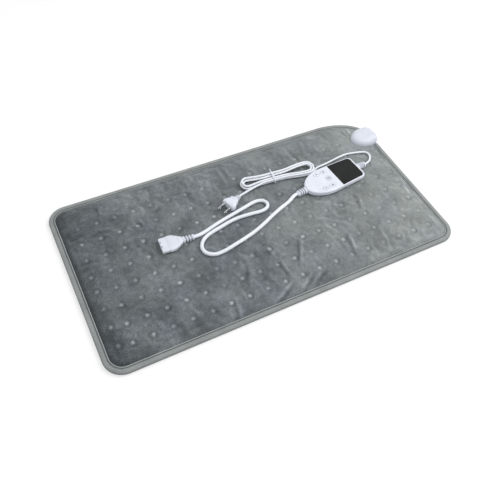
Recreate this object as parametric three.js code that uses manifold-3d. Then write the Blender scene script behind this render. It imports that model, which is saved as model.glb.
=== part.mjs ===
// Electric heating pad with a hand controller, its plug-in lead and its tied mains lead.
// Millimetres, +Z up. The origin is the middle of the pad's flat underside, +X along its long side.
import * as THREE from 'three';
import { mergeVertices } from 'three/addons/utils/BufferGeometryUtils.js';
import Module from 'manifold-3d';

const wasm = await Module();
wasm.setup();

// Fit between neighbouring pieces
const fit = 0.3;

// Pad
const padLength = 576;
const padWidth = 305;
const padCorner = 29;
const socketCornerLength = 85;
const socketCornerWidth = 52;
const tapeLeg = 10;
const tapeThickness = 0.8;
const bottomSheet = 1.5;
const topFlange = 2;
const coverSeam = 1.7;
const carrierThickness = 1;
const wireDiameter = 1.8;
const paddingThickness = 2;
const plushEdge = 2.6;
const crownRise = 0.9;
const sideSlope = 8;

// Steps of the crown: slopes in from the tape, share of the plush edge, share of the rise
const crownSteps = [
  { slopes: 0.5, edge: 0.3, rise: 0 },
  { slopes: 1.6, edge: 0.9, rise: 0 },
  { slopes: 3.2, edge: 1, rise: 0 },
  { slopes: 7, edge: 1, rise: 2 / 3 },
  { slopes: 12.5, edge: 1, rise: 1 },
];

// Raised dots of the plush, counted from the pad's left end and near side
const dotRows = 8;
const dotPitchX = 29.05;
const dotPitchY = 30.3;
const dotRowShift = 2.8;
const dotFromEnd = 16.2;
const dotFromSide = 35.5;
const dotSize = 6;
const dotHeight = 0.8;
const dotMargin = 16;

// Heating wire, with the places of its two ends in the socket's own frame
const wireRuns = 8;
const wireMargin = 34;
const wireSocketGap = 46;
const wireSides = 6;
const firstWireEnd = [-17, 5];
const firstWireExit = [-36, 5];
const lastWireEnter = [-16, -30];
const lastWireEnd = [-16, -11];
const cutoutLength = 16;
const cutoutWidth = 6;
const cutoutHeight = 3;

// Screws
const screwRadius = 1.1;
const screwHeadRadius = 2.3;
const screwHeadHeight = 0.9;

// Socket on the pad's corner
const socketFromEnd = 20;
const socketFromSide = 59;
const socketTurn = 8;
const socketBack = 27;
const socketFront = 24;
const socketHalfWidth = 20.5;
const socketFrontHalf = 19;
const socketCorner = 12;
const socketHeight = 19.5;
const socketRound = 8;
const socketWall = 2;
const socketScrewX = -9;
const socketScrewY = 14.2;
const bossRadius = 3.2;
const pinCount = 3;
const pinSpacing = 7.5;
const pinDiameter = 2;
const pinReach = 14;
const pinHeight = 9.2;
const pinBlockFront = 5;
const pinBlockDepth = 8;
const pinBlockGap = 1.2;
const pinTail = 5;

// Connector on the pad lead
const connectorX = -100;
const connectorY = 7.6;
const connectorTurn = 176.5;
const connectorHeight = 8.5;
const connectorWidth = 28;
const connectorRound = 2.5;
const shellLength = 23;
const shellTaper = 17;
const shellNeck = 9.2;
const noseLength = 11;
const noseWidth = 26.4;
const noseHeight = 7.4;
const noseRound = 1.5;
const tenonLength = 8;
const tenonWidth = 22;
const tenonHeight = 5.4;
const contactWall = 0.5;
const contactRecess = 1;
const taperBulge = 0.75;

// Controller
const controlX = 157.2;
const controlY = 25.6;
const controlTurn = 5.4;
const controlLength = 108;
const controlBulge = -10;
const controlWidth = 52;
const controlEndWidth = 48;
const controlCorner = 8;
const controlHeight = 10;
const controlRound = 2;
const underDraw = 4.5;
const hullSteps = 4;
const caseWall = 2;
const caseFloor = 1.4;
const caseLean = 2.2;
const caseTop = 2.3;
const splitHeight = 4.6;
const windowStart = 5.2;
const windowRim = 2;
const windowEndStep = 1.5;
const windowThickness = 1.1;
const boardHeight = 2.6;
const boardThickness = 1.2;
const boardMargin = 6.4;
const lcdLength = 26;
const lcdWidth = 30;
const lcdThickness = 1.6;
const lcdFromFront = 30;
const lcdLip = 1;
const lcdFrameWall = 2;
const postRadius = 3.4;
const frontPostFromEnd = 11;
const frontPostSide = 14;
const backPostFromEnd = 13;
const backPostSide = 9;
const triacFromBack = 24;
const triacSize = [10, 9, 2.6];
const capacitorFromBack = 32;
const capacitorSide = -7.6;
const capacitorSize = [12, 4.6, 2.4];
const fuseFromBack = 25;
const fuseSide = 7.4;
const fuseLength = 14;
const fuseRadius = 1.3;
const keyTravel = 0.6;
const keyProud = 0.5;
const keySkirt = 0.6;
const powerKeySize = 11;
const pillKeyLength = 11;
const pillKeyWidth = 7;
const powerKeyFromBack = 46;
const timerKeysFromBack = 32;
const heatKeysFromBack = 29;
const keyPairPitch = 13.5;
const keyRowSide = 15.5;
const keyFlange = 1;
const keySides = 16;
const switchBase = 6;
const switchHeight = 1.6;
const switchBodyShare = 0.7;
const switchStem = 3;

// Strain reliefs and cords
const padLeadDiameter = 5.8;
const mainsLeadDiameter = 3.4;
const cordSides = 8;
const padLeadSteps = 46;
const mainsLeadSteps = 24;
const plugTailSteps = 4;
const reliefRoot = 3;
const reliefRootStep = 1.2;
const reliefFlange = 1.6;
const reliefFlangeStep = 0.6;
const reliefNeck = 4.2;
const controlReliefLength = 16;
const controlReliefBase = 8.8;
const padReliefWall = 1;
const mainsReliefWall = 1.9;
const plugBootLength = 10;
const plugBootBase = 12;
const plugBootWall = 1.6;
const connectorBootLength = 18;
const connectorBootWall = 0.8;
const ribCount = 3;
const ribGroove = 1.3;

// Mains plug
const plugX = -27.9;
const plugY = 40.5;
const plugTurn = 202.5;
const plugLength = 17;
const plugTaper = 12;
const plugWidth = 23.6;
const plugNeck = 12;
const plugHeight = 12;
const plugRound = 3;
const bladeSpacing = 12.7;
const bladeWidth = 6.35;
const bladeThickness = 1.5;
const bladeLength = 15.5;
const bladeRoot = 9;

// Hank of mains lead
const hankX = 77;
const hankY = 68.6;
const hankTurn = -4.6;
const hankHalfLength = 66.5;
const hankHalfWidth = 13.4;
const hankLoops = 3;
const hankLoopSteps = 32;
const hankPitch = 4.15;
const hankLayerGap = 0.5;
const hankWaist = 4.6;
const hankWaistPlace = -9;
const hankWaistReach = 40;
const hankWaistPower = 4;
const hankStartAngle = 20;
const hankEndAngle = 118;
const hankTipShare = 37.5;
const tieThickness = 0.6;
const tieWidth = 3.2;
const tieTail = 6;

// Heights of the pad's layers
const flangeBase = tapeThickness + fit;
const carrierBase = bottomSheet + fit;
const carrierTop = carrierBase + carrierThickness;
const wireHeight = carrierTop + fit + wireDiameter / 2;
const paddingBase = wireHeight + wireDiameter / 2 + fit;
const paddingTop = paddingBase + paddingThickness;
const topFlangeBase = flangeBase + bottomSheet + fit;
const tapeHeight = topFlangeBase + topFlange + fit + tapeThickness;
const plushBase = paddingTop + fit;
const plushTop = plushBase + plushEdge + crownRise;
const restHeight = plushTop + dotHeight + fit;
const seamInset = tapeLeg + fit + coverSeam;

// Places that follow from the pad's size
const socketX = padLength / 2 - socketFromEnd;
const socketY = padWidth / 2 - socketFromSide;
const dotFirstX = -padLength / 2 + dotFromEnd;
const dotFirstY = -padWidth / 2 + dotFromSide;

// Materials
function look(color, roughness, metalness = 0) {
  return new THREE.MeshStandardMaterial({ color, roughness, metalness });
}
const plush = look(0x7f8584, 0.95);
const tape = look(0x8c8f90, 0.85);
const felt = look(0xd8d6cf, 0.95);
const whitePlastic = look(0xe6e8f2, 0.35);
const whiteCord = look(0xeceef2, 0.5);
const blackGloss = look(0x1a1b1b, 0.08);
const darkPlastic = look(0x2b2b2d, 0.5);
const boardGreen = look(0x2f6b45, 0.55);
const brass = look(0xc9a452, 0.35, 1);
const steel = look(0xb9bcc0, 0.3, 1);
const wireRed = look(0xb5473c, 0.6);

// Solids and meshes
function solid(geometry) {
  const bare = new THREE.BufferGeometry();
  bare.setAttribute('position', geometry.getAttribute('position'));
  bare.setIndex(geometry.index);
  const merged = mergeVertices(bare, 1e-4);
  const corners = merged.getAttribute('position').array;
  const faces = [];
  const index = merged.index.array;
  let volume = 0;
  const point = (i) => new THREE.Vector3().fromArray(corners, 3 * i);
  for (let i = 0; i < index.length; i += 3) {
    const [a, b, c] = [index[i], index[i + 1], index[i + 2]];
    if (a !== b && b !== c && c !== a) {
      faces.push([a, b, c]);
      volume += point(a).dot(point(b).cross(point(c)));
    }
  }
  const turned = volume < 0 ? faces.map(([a, b, c]) => [a, c, b]) : faces;
  const triVerts = Uint32Array.from(turned.flat());
  const vertProperties = Float32Array.from(corners);
  return new wasm.Manifold(new wasm.Mesh({ numProp: 3, vertProperties, triVerts }));
}

function mesh(parent, name, shape, material) {
  const { vertProperties, triVerts } = shape.getMesh();
  const geometry = new THREE.BufferGeometry();
  geometry.setAttribute('position', new THREE.BufferAttribute(vertProperties, 3));
  geometry.setIndex(new THREE.BufferAttribute(triVerts, 1));
  geometry.computeVertexNormals();
  const piece = new THREE.Mesh(geometry, material);
  piece.name = name;
  parent.add(piece);
  return piece;
}

function slab(outline, low, high, segments = 6) {
  const options = { depth: high - low, bevelEnabled: false, curveSegments: segments };
  return solid(new THREE.ExtrudeGeometry(outline, options).translate(0, 0, low));
}

// A slab whose upper and lower edges are rounded
function softSlab(outline, low, high, round, segments = 6, rings = 3) {
  const options = {
    depth: high - low - 2 * round,
    bevelThickness: round,
    bevelSize: round,
    bevelOffset: -round,
    bevelSegments: rings,
    curveSegments: segments,
  };
  return solid(new THREE.ExtrudeGeometry(outline, options).translate(0, 0, low + round));
}

function block(x0, x1, y0, y1, z0, z1) {
  const box = new THREE.BoxGeometry(x1 - x0, y1 - y0, z1 - z0);
  return solid(box.translate((x0 + x1) / 2, (y0 + y1) / 2, (z0 + z1) / 2));
}

function post(x, y, radius, low, high, sides = 12) {
  const cylinder = new THREE.CylinderGeometry(radius, radius, high - low, sides);
  return solid(cylinder.rotateX(Math.PI / 2).translate(x, y, (low + high) / 2));
}

// A round bar along X
function bar(x0, x1, y, z, radius, sides = 12) {
  const cylinder = new THREE.CylinderGeometry(radius, radius, x1 - x0, sides);
  return solid(cylinder.rotateZ(Math.PI / 2).translate((x0 + x1) / 2, y, z));
}

// A turned piece along X from a profile of [place along X, radius]
function turned(profile, y, z, sides = 12) {
  const points = profile.map(([place, radius]) => new THREE.Vector2(radius, place));
  return solid(new THREE.LatheGeometry(points, sides).rotateZ(-Math.PI / 2).translate(0, y, z));
}

function rectangle(x0, x1, y0, y1) {
  const shape = new THREE.Shape();
  shape.moveTo(x0, y0);
  shape.lineTo(x1, y0);
  shape.lineTo(x1, y1);
  shape.lineTo(x0, y1);
  shape.closePath();
  return shape;
}

function roundedRectangle(x0, x1, halfWidth, radius) {
  const shape = new THREE.Shape();
  shape.moveTo(x0 + radius, -halfWidth);
  shape.absarc(x1 - radius, -halfWidth + radius, radius, -Math.PI / 2, 0);
  shape.absarc(x1 - radius, halfWidth - radius, radius, 0, Math.PI / 2);
  shape.absarc(x0 + radius, halfWidth - radius, radius, Math.PI / 2, Math.PI);
  shape.absarc(x0 + radius, -halfWidth + radius, radius, Math.PI, 1.5 * Math.PI);
  return shape;
}

// A plan that is round at its back end and square with rounded corners at its front end
function bulletOutline({ back, front, bulge, half, frontHalf, corner }, inset = 0) {
  const right = front - inset;
  const endHalf = frontHalf - inset;
  const round = corner - inset;
  const shape = new THREE.Shape();
  shape.moveTo(bulge, -half + inset);
  shape.absarc(right - round, -endHalf + round, round, -Math.PI / 2, 0);
  shape.absarc(right - round, endHalf - round, round, 0, Math.PI / 2);
  shape.absellipse(bulge, 0, bulge + back - inset, half - inset, Math.PI / 2, 1.5 * Math.PI);
  return shape;
}

// A tube through a list of points, one ring of sides at each point
class StationPath extends THREE.Curve {
  constructor(stations) {
    super();
    this.stations = stations;
  }

  getPoint(t, target = new THREE.Vector3()) {
    const place = t * (this.stations.length - 1);
    const before = Math.min(Math.floor(place), this.stations.length - 2);
    return target.lerpVectors(this.stations[before], this.stations[before + 1], place - before);
  }

  getPointAt(t, target) {
    return this.getPoint(t, target);
  }

  getTangentAt(t, target) {
    return this.getTangent(t, target);
  }
}

function tube(stations, diameter, sides) {
  const ring = new THREE.Shape();
  for (let i = 0; i < sides; i += 1) {
    const angle = (2 * Math.PI * i) / sides;
    ring[i ? 'lineTo' : 'moveTo']((diameter / 2) * Math.cos(angle), (diameter / 2) * Math.sin(angle));
  }
  ring.closePath();
  const options = { steps: stations.length - 1, extrudePath: new StationPath(stations) };
  return solid(new THREE.ExtrudeGeometry(ring, options));
}

function smoothStations(points, steps) {
  return new THREE.CatmullRomCurve3(points, false, 'centripetal').getSpacedPoints(steps);
}

function frameAt(x, y, z, turn) {
  const group = new THREE.Group();
  group.position.set(x, y, z);
  group.rotation.z = THREE.MathUtils.degToRad(turn);
  group.updateMatrix();
  return group;
}

const heatingPad = new THREE.Group();

// The pad's plan, drawn in from its edge by an inset
function padOutline(inset) {
  const right = padLength / 2 - inset;
  const far = padWidth / 2 - inset;
  const small = Math.max(padCorner - inset, tapeThickness);
  const long = Math.max(socketCornerLength - inset, tapeThickness);
  const wide = Math.max(socketCornerWidth - inset, tapeThickness);
  const shape = new THREE.Shape();
  shape.moveTo(-right + small, -far);
  shape.absarc(right - small, -far + small, small, -Math.PI / 2, 0);
  shape.absellipse(right - long, far - wide, long, wide, 0, Math.PI / 2);
  shape.absarc(-right + small, far - small, small, Math.PI / 2, Math.PI);
  shape.absarc(-right + small, -far + small, small, Math.PI, 1.5 * Math.PI);
  return shape;
}

// Space that the socket takes out of the pad's layers
const socketPlan = {
  back: socketBack,
  front: socketFront,
  bulge: 0,
  half: socketHalfWidth,
  frontHalf: socketFrontHalf,
  corner: socketCorner,
};
const socketSegments = 5;
const socketFrame = frameAt(socketX, socketY, 0, socketTurn);
heatingPad.add(socketFrame);

function socketSpace(outline, low, high) {
  const options = { depth: high - low, bevelEnabled: false, curveSegments: socketSegments };
  const geometry = new THREE.ExtrudeGeometry(outline, options).translate(0, 0, low);
  return solid(geometry.applyMatrix4(socketFrame.matrix));
}

const below = -1;
const above = restHeight + socketHeight;
const socketNotch = socketSpace(bulletOutline(socketPlan, -fit), below, above);

// Binding tape folded over the pad's edge
const bindingBlank = slab(padOutline(0), 0, tapeHeight);
const bindingSlot = slab(padOutline(tapeThickness), tapeThickness, tapeHeight - tapeThickness);
const bindingMiddle = slab(padOutline(tapeLeg), below, above);
const binding = bindingBlank.subtract(bindingSlot).subtract(bindingMiddle).subtract(socketNotch);
mesh(heatingPad, 'edge_binding', binding, tape);

// Bottom cover, with its rim inside the binding
const bottomPanel = slab(padOutline(tapeLeg + fit), 0, bottomSheet);
const rimOuter = slab(padOutline(tapeThickness + fit), flangeBase, flangeBase + bottomSheet);
const rimInner = slab(padOutline(seamInset), below, above);
const bottomCover = bottomPanel.add(rimOuter.subtract(rimInner)).subtract(socketNotch);
mesh(heatingPad, 'bottom_cover', bottomCover, plush);

// Top cover: rim in the binding, drawn-in sides, crown and raised dots
const crownRings = [
  [tapeThickness + fit, topFlangeBase + topFlange],
  [tapeLeg + 2 * fit, topFlangeBase + topFlange],
];
for (const { slopes, edge, rise } of crownSteps) {
  crownRings.push([tapeLeg + slopes * sideSlope, plushBase + plushEdge * edge + crownRise * rise]);
}
const undersideRings = [
  [seamInset, below],
  [seamInset, topFlangeBase],
  [seamInset + sideSlope, plushBase],
];

// Layers of one outline, each drawn in by its own inset at its own height
function ringLoft(outline, rings, segments) {
  const loops = rings.map(([inset, height]) => {
    const loop = outline(inset).getPoints(segments).slice(0, -1);
    return loop.map(({ x, y }) => new THREE.Vector3(x, y, height));
  });
  const count = loops[0].length;
  const faces = [];
  const flat = THREE.ShapeUtils.triangulateShape;
  const plan = (loop) => loop.map(({ x, y }) => new THREE.Vector2(x, y));
  const last = (loops.length - 1) * count;
  loops.slice(1).forEach((_, level) => {
    for (let i = 0; i < count; i += 1) {
      const next = (i + 1) % count;
      const [a, b] = [level * count + i, level * count + next];
      faces.push(a, b, b + count, a, b + count, a + count);
    }
  });
  for (const [a, b, c] of flat(plan(loops[0]), [])) {
    faces.push(a, c, b);
  }
  for (const [a, b, c] of flat(plan(loops[loops.length - 1]), [])) {
    faces.push(last + a, last + b, last + c);
  }
  const geometry = new THREE.BufferGeometry().setFromPoints(loops.flat());
  geometry.setIndex(faces);
  return solid(geometry);
}

function crownAt(x, y) {
  const inset = Math.min(padLength / 2 - Math.abs(x), padWidth / 2 - Math.abs(y));
  const after = crownRings.findIndex(([ringInset]) => ringInset > inset);
  if (after < 0) {
    return plushTop;
  }
  const [[i0, z0], [i1, z1]] = [crownRings[after - 1], crownRings[after]];
  return z0 + ((z1 - z0) * (inset - i0)) / (i1 - i0);
}

const topBlank = ringLoft(padOutline, [[tapeThickness + fit, topFlangeBase], ...crownRings], 3);
const underside = ringLoft(padOutline, undersideRings, 3);
const dots = [];
for (let column = dotFirstX; column < padLength / 2; column += dotPitchX) {
  for (let row = 0; row < dotRows; row += 1) {
    const x = column + row * dotRowShift;
    const y = dotFirstY + row * dotPitchY;
    const inX = padLength / 2 - Math.abs(x) > dotMargin;
    const inY = padWidth / 2 - Math.abs(y) > dotMargin;
    const clear = Math.hypot(x - socketX, y - socketY) > socketBack + dotSize;
    if (inX && inY && clear) {
      const dot = new THREE.ConeGeometry(dotSize, 2 * dotHeight, 4).rotateX(Math.PI / 2);
      dots.push(solid(dot.translate(x, y, crownAt(x, y))));
    }
  }
}
const topCover = wasm.Manifold.union([topBlank.subtract(underside), ...dots]).subtract(socketNotch);
mesh(heatingPad, 'top_cover', topCover, plush);

// Heating wire: straight runs joined by half turns, both ends inside the socket
const wirePitch = dotPitchY;
const turnRadius = wirePitch / 2;
const wireLeft = -padLength / 2 + wireMargin + turnRadius;
const wireRight = socketX - wireSocketGap;
const inSocket = ([x, y]) => new THREE.Vector3(x, y, wireHeight).applyMatrix4(socketFrame.matrix);
const wireReturn = inSocket(lastWireEnter);

function halfTurn(x, y, side, radius, from, to, steps = 6) {
  const points = [];
  for (let i = 0; i <= steps; i += 1) {
    const angle = from + ((to - from) * i) / steps;
    const turnX = x + side * radius * Math.cos(angle);
    points.push(new THREE.Vector3(turnX, y + radius * Math.sin(angle), wireHeight));
  }
  return points;
}

function wireStations() {
  const route = [inSocket(firstWireEnd), inSocket(firstWireExit)];
  const firstRun = dotFirstY + (wireRuns - 1) * wirePitch;
  for (let run = 0; run < wireRuns - 1; run += 1) {
    const side = run % 2 ? 1 : -1;
    const x = run % 2 ? wireRight : wireLeft;
    const y = firstRun - (run + 0.5) * wirePitch;
    route.push(...halfTurn(x, y, side, turnRadius, Math.PI / 2, -Math.PI / 2));
  }
  const lastX = wireReturn.x - turnRadius;
  route.push(...halfTurn(lastX, dotFirstY + turnRadius, 1, turnRadius, -Math.PI / 2, 0, 3));
  route.push(wireReturn, inSocket(lastWireEnd));
  return route;
}
mesh(heatingPad, 'heating_wire', tube(wireStations(), wireDiameter, wireSides), wireRed);

// Thermal cut-out lying on the carrier between two runs of the wire
const cutoutX = -dotPitchX;
const cutoutY = dotFirstY + (wireRuns / 2 - 0.5) * wirePitch;
const cutoutBase = carrierTop + fit;

function cutoutSpace(grow, low, high) {
  const halfLength = cutoutLength / 2 + grow;
  const halfWidth = cutoutWidth / 2 + grow;
  const [x0, x1] = [cutoutX - halfLength, cutoutX + halfLength];
  return block(x0, x1, cutoutY - halfWidth, cutoutY + halfWidth, low, high);
}
mesh(heatingPad, 'thermal_cutout', cutoutSpace(0, cutoutBase, cutoutBase + cutoutHeight), darkPlastic);

// Padding felt over the wire
const padding = slab(padOutline(seamInset + sideSlope + fit), paddingBase, paddingTop, 3);
const paddingCut = padding.subtract(socketNotch).subtract(cutoutSpace(fit, below, above));
mesh(heatingPad, 'padding_felt', paddingCut, felt);

// Carrier felt under the wire, with a tongue that the two halves of the socket clamp
const tongueEnd = socketScrewX + bossRadius + fit;
const tonguePlan = rectangle(tongueEnd, socketBack + socketFront, -2 * socketFront, 2 * socketFront);
const tongueCut = socketSpace(tonguePlan, below, above);
const screwPlaces = [socketScrewY, -socketScrewY];
let carrier = slab(padOutline(seamInset + fit), carrierBase, carrierTop, 3);
carrier = carrier.subtract(tongueCut.intersect(socketNotch));
for (const y of screwPlaces) {
  const hole = new THREE.Shape().absarc(socketScrewX, y, screwRadius + fit, 0, 2 * Math.PI);
  carrier = carrier.subtract(socketSpace(hole, below, above));
}
mesh(heatingPad, 'carrier_felt', carrier, felt);

// A screw standing on its head, from a low level up
function screw(x, y, low, high) {
  const head = post(x, y, screwHeadRadius, low, low + screwHeadHeight, 12);
  return head.add(post(x, y, screwRadius, low, high, 10));
}

// Socket base under the tongue
let socketBase = slab(bulletOutline(socketPlan), 0, bottomSheet, socketSegments);
const socketHead = screwHeadHeight / 2;
for (const y of screwPlaces) {
  const shankHole = post(socketScrewX, y, screwRadius + fit, below, above, 12);
  const headHole = post(socketScrewX, y, screwHeadRadius + fit, below, socketHead + 2 * fit, 12);
  socketBase = socketBase.subtract(shankHole).subtract(headHole);
}
mesh(socketFrame, 'socket_base', socketBase, whitePlastic);

// Socket dome with its mouth, screw bosses and wire slots
const domeBase = carrierTop + fit;
const blockBack = pinBlockFront - pinBlockDepth;
const mouthHalf = noseWidth / 2 + 2 * fit;
const mouthRise = noseHeight / 2 + 2 * fit;
const domePlan = bulletOutline(socketPlan);
const domeSolid = softSlab(domePlan, -socketHeight, socketHeight, socketRound, socketSegments, 4);
const cavityRound = socketRound - socketWall;
const cavityTop = socketHeight - socketWall;
const cavityPlan = bulletOutline(socketPlan, socketWall);
const domeCavity = softSlab(cavityPlan, -cavityTop, cavityTop, cavityRound, socketSegments, 3);
const halfSpace = block(-padLength, padLength, -padLength, padLength, domeBase, padLength);
let dome = domeSolid.subtract(domeCavity);
for (const y of screwPlaces) {
  const boss = post(socketScrewX, y, bossRadius, 0, cavityTop + socketWall / 2, 12);
  const bossHole = post(socketScrewX, y, screwRadius + fit, below, cavityTop - socketWall, 12);
  dome = dome.add(boss.intersect(domeSolid)).subtract(bossHole);
}
const [mouthLow, mouthHigh] = [pinHeight - mouthRise, pinHeight + mouthRise];
const mouth = block(pinBlockFront, 2 * socketFront, -mouthHalf, mouthHalf, mouthLow, mouthHigh);
const slotHalf = wireDiameter / 2 + fit;
const slotTop = wireHeight + slotHalf;
const [backX, backY] = firstWireEnd;
const backSlot = block(firstWireExit[0], backX - fit, backY - slotHalf, backY + slotHalf, 0, slotTop);
const [sideX, sideY] = lastWireEnd;
const sideSlot = block(sideX - slotHalf, sideX + slotHalf, lastWireEnter[1], sideY, 0, slotTop);
dome = dome.subtract(mouth).subtract(backSlot).subtract(sideSlot).intersect(halfSpace);
mesh(socketFrame, 'socket_dome', dome, whitePlastic);

// Pin block and its three pins
const blockHalf = socketFrontHalf - socketWall - pinBlockGap;
const pinHalfSpan = ((pinCount - 1) * pinSpacing) / 2;
const blockTop = pinHeight + noseHeight / 2;
let pinBlock = block(blockBack, pinBlockFront, -blockHalf, blockHalf, bottomSheet + fit, blockTop);
for (let i = 0; i < pinCount; i += 1) {
  const y = i * pinSpacing - pinHalfSpan;
  const tail = blockBack - pinTail;
  pinBlock = pinBlock.subtract(bar(tail, pinBlockFront + pinReach, y, pinHeight, pinDiameter / 2 + fit));
  const pin = bar(tail, pinBlockFront + pinReach, y, pinHeight, pinDiameter / 2, 10);
  mesh(socketFrame, `contact_pin_${i + 1}`, pin, brass);
}
mesh(socketFrame, 'pin_block', pinBlock, darkPlastic);
screwPlaces.forEach((y, i) => {
  const low = socketHead + fit - screwHeadHeight / 2;
  const body = post(socketScrewX, y, screwHeadRadius, low, socketHead + fit, 12);
  const shank = post(socketScrewX, y, screwRadius, low, cavityTop - 2 * socketWall, 10);
  mesh(socketFrame, `socket_screw_${i + 1}`, body.add(shank), steel);
});

// A ribbed strain relief along X, from its tip towards the piece that holds it
function reliefProfile(length, tip, base) {
  const radiusAt = (place) => tip + ((base - tip) * place) / length;
  const profile = [[0, 0], [0, tip]];
  for (let i = 1; i <= ribCount; i += 1) {
    const start = (length * i) / (ribCount + 1) - ribGroove / 2;
    const end = start + ribGroove;
    const floor = radiusAt(start) - ribGroove;
    profile.push([start, radiusAt(start)], [start, floor], [end, floor], [end, radiusAt(end)]);
  }
  profile.push([length, base]);
  return profile;
}

// Connector: ribbed boot, moulded shell, nose with three sprung contacts
const connectorFrame = frameAt(connectorX, connectorY, restHeight + connectorHeight / 2, connectorTurn);
heatingPad.add(connectorFrame);
const bootTip = padLeadDiameter / 2 + connectorBootWall;
const bootRootRadius = shellNeck / 2 - reliefRootStep;
const bootProfile = reliefProfile(connectorBootLength, bootTip, shellNeck / 2 - fit);
const bootEnd = connectorBootLength + fit + reliefRoot;
bootProfile.push([connectorBootLength, bootRootRadius], [bootEnd, bootRootRadius], [bootEnd, 0]);
mesh(connectorFrame, 'connector_boot', turned(bootProfile, 0, 0), whitePlastic);

const shellStart = connectorBootLength + fit;
const shellEnd = shellStart + shellLength;
const tenonStart = shellEnd - tenonLength;
const noseStart = shellEnd + fit;
const noseEnd = noseStart + noseLength;

function taperedPlan(start, taper, end, neckHalf, half) {
  const shape = new THREE.Shape();
  shape.moveTo(start, -neckHalf);
  shape.quadraticCurveTo(start + taper * taperBulge, -half, start + taper, -half);
  shape.lineTo(end, -half);
  shape.lineTo(end, half);
  shape.lineTo(start + taper, half);
  shape.quadraticCurveTo(start + taper * taperBulge, half, start, neckHalf);
  return shape;
}

function centredBlock(x0, x1, width, height) {
  return block(x0, x1, -width / 2, width / 2, -height / 2, height / 2);
}
const shellPlan = taperedPlan(shellStart, shellTaper, shellEnd, shellNeck / 2, connectorWidth / 2);
const shellBlank = softSlab(shellPlan, -connectorHeight / 2, connectorHeight / 2, connectorRound, 4, 3);
const [pocketWidth, pocketHeight] = [tenonWidth + 2 * fit, tenonHeight + 2 * fit];
const tenonPocket = centredBlock(tenonStart - fit, 2 * noseEnd, pocketWidth, pocketHeight);
const bootBore = bar(0, bootEnd + fit, 0, 0, bootRootRadius + fit, 14);
mesh(connectorFrame, 'connector_shell', shellBlank.subtract(tenonPocket).subtract(bootBore), whitePlastic);

const nosePlan = roundedRectangle(noseStart, noseEnd, noseWidth / 2, 2 * noseRound);
const noseBlank = softSlab(nosePlan, -noseHeight / 2, noseHeight / 2, noseRound, 2, 2);
let nose = noseBlank.add(centredBlock(tenonStart, (noseStart + noseEnd) / 2, tenonWidth, tenonHeight));
const contactRadius = pinDiameter / 2 + fit + contactWall;
const contactStart = tenonStart + contactWall;
const contactEnd = noseEnd - contactRecess;
for (let i = 0; i < pinCount; i += 1) {
  const y = i * pinSpacing - pinHalfSpan;
  nose = nose.subtract(bar(contactStart - fit, 2 * noseEnd, y, 0, contactRadius + fit, 14));
  const sleeve = bar(contactStart, contactEnd, y, 0, contactRadius, 14);
  const bore = bar(contactStart + contactWall, 2 * noseEnd, y, 0, pinDiameter / 2 + fit, 14);
  mesh(connectorFrame, `connector_contact_${i + 1}`, sleeve.subtract(bore), brass);
}
mesh(connectorFrame, 'connector_nose', nose, whitePlastic);

// Controller case
const controlFrame = frameAt(controlX, controlY, restHeight, controlTurn);
heatingPad.add(controlFrame);
const controlPlan = {
  back: controlLength / 2,
  front: controlLength / 2,
  bulge: controlBulge,
  half: controlWidth / 2,
  frontHalf: controlEndWidth / 2,
  corner: controlCorner,
};
const ceiling = controlHeight - caseTop;
const boardTop = boardHeight + boardThickness;
const seatHeight = boardTop + fit;
const [controlBack, controlFront] = [-controlLength / 2, controlLength / 2];
const [frontPost, backPost] = [controlFront - frontPostFromEnd, controlBack + backPostFromEnd];
const postPlaces = [
  [frontPost, frontPostSide],
  [frontPost, -frontPostSide],
  [backPost, backPostSide],
  [backPost, -backPostSide],
];
const controlOutline = (inset) => bulletOutline(controlPlan, inset);
const hullRings = [];
for (let i = 0; i <= hullSteps; i += 1) {
  const angle = (i * Math.PI) / 2 / hullSteps;
  hullRings.push([underDraw * (1 - Math.sin(angle)), splitHeight * (1 - Math.cos(angle))]);
}
for (let i = 0; i <= hullSteps; i += 1) {
  const angle = (i * Math.PI) / 2 / hullSteps;
  const fallen = controlRound * (1 - Math.sin(angle));
  hullRings.push([controlRound * (1 - Math.cos(angle)), controlHeight - fallen]);
}
const spaceRings = [
  [caseWall + caseLean, caseFloor],
  [caseWall, splitHeight],
  [caseWall, ceiling],
];
const caseBlank = ringLoft(controlOutline, hullRings, 5);
const caseHull = caseBlank.subtract(ringLoft(controlOutline, spaceRings, 5));
const everywhere = padLength;
const lowerHalf = block(-everywhere, everywhere, -everywhere, everywhere, below, splitHeight);
const upperHalf = block(-everywhere, everywhere, -everywhere, everywhere, splitHeight + fit, everywhere);

// Strain reliefs held between the two halves of the case
const reliefAxis = splitHeight + fit / 2;
const reliefRootRadius = controlReliefBase / 2 - reliefRootStep;
const reliefFlangeRadius = reliefRootRadius + reliefFlangeStep;
const reliefNeckEnd = controlReliefLength + fit + reliefNeck;
const reliefEnd = reliefNeckEnd + reliefFlange;

function controlRelief(tip) {
  const profile = reliefProfile(controlReliefLength, tip, controlReliefBase / 2);
  profile.push([controlReliefLength, reliefRootRadius], [reliefNeckEnd, reliefRootRadius]);
  profile.push([reliefNeckEnd, reliefFlangeRadius], [reliefEnd, reliefFlangeRadius], [reliefEnd, 0]);
  return profile;
}
const reliefTip = controlBack - fit - controlReliefLength;
const fromLeft = ([place, radius]) => [reliefTip + place, radius];
const fromRight = ([place, radius]) => [-reliefTip - place, radius];
const padSide = controlRelief(padLeadDiameter / 2 + padReliefWall).map(fromLeft);
const mainsSide = controlRelief(mainsLeadDiameter / 2 + mainsReliefWall).map(fromRight);
mesh(controlFrame, 'pad_lead_relief', turned(padSide, 0, reliefAxis), whitePlastic);
mesh(controlFrame, 'mains_lead_relief', turned(mainsSide, 0, reliefAxis), whitePlastic);
const reliefHole = bar(-everywhere, everywhere, 0, reliefAxis, reliefRootRadius + fit, 14);
const roomStart = reliefTip + reliefNeckEnd - fit;
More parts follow.
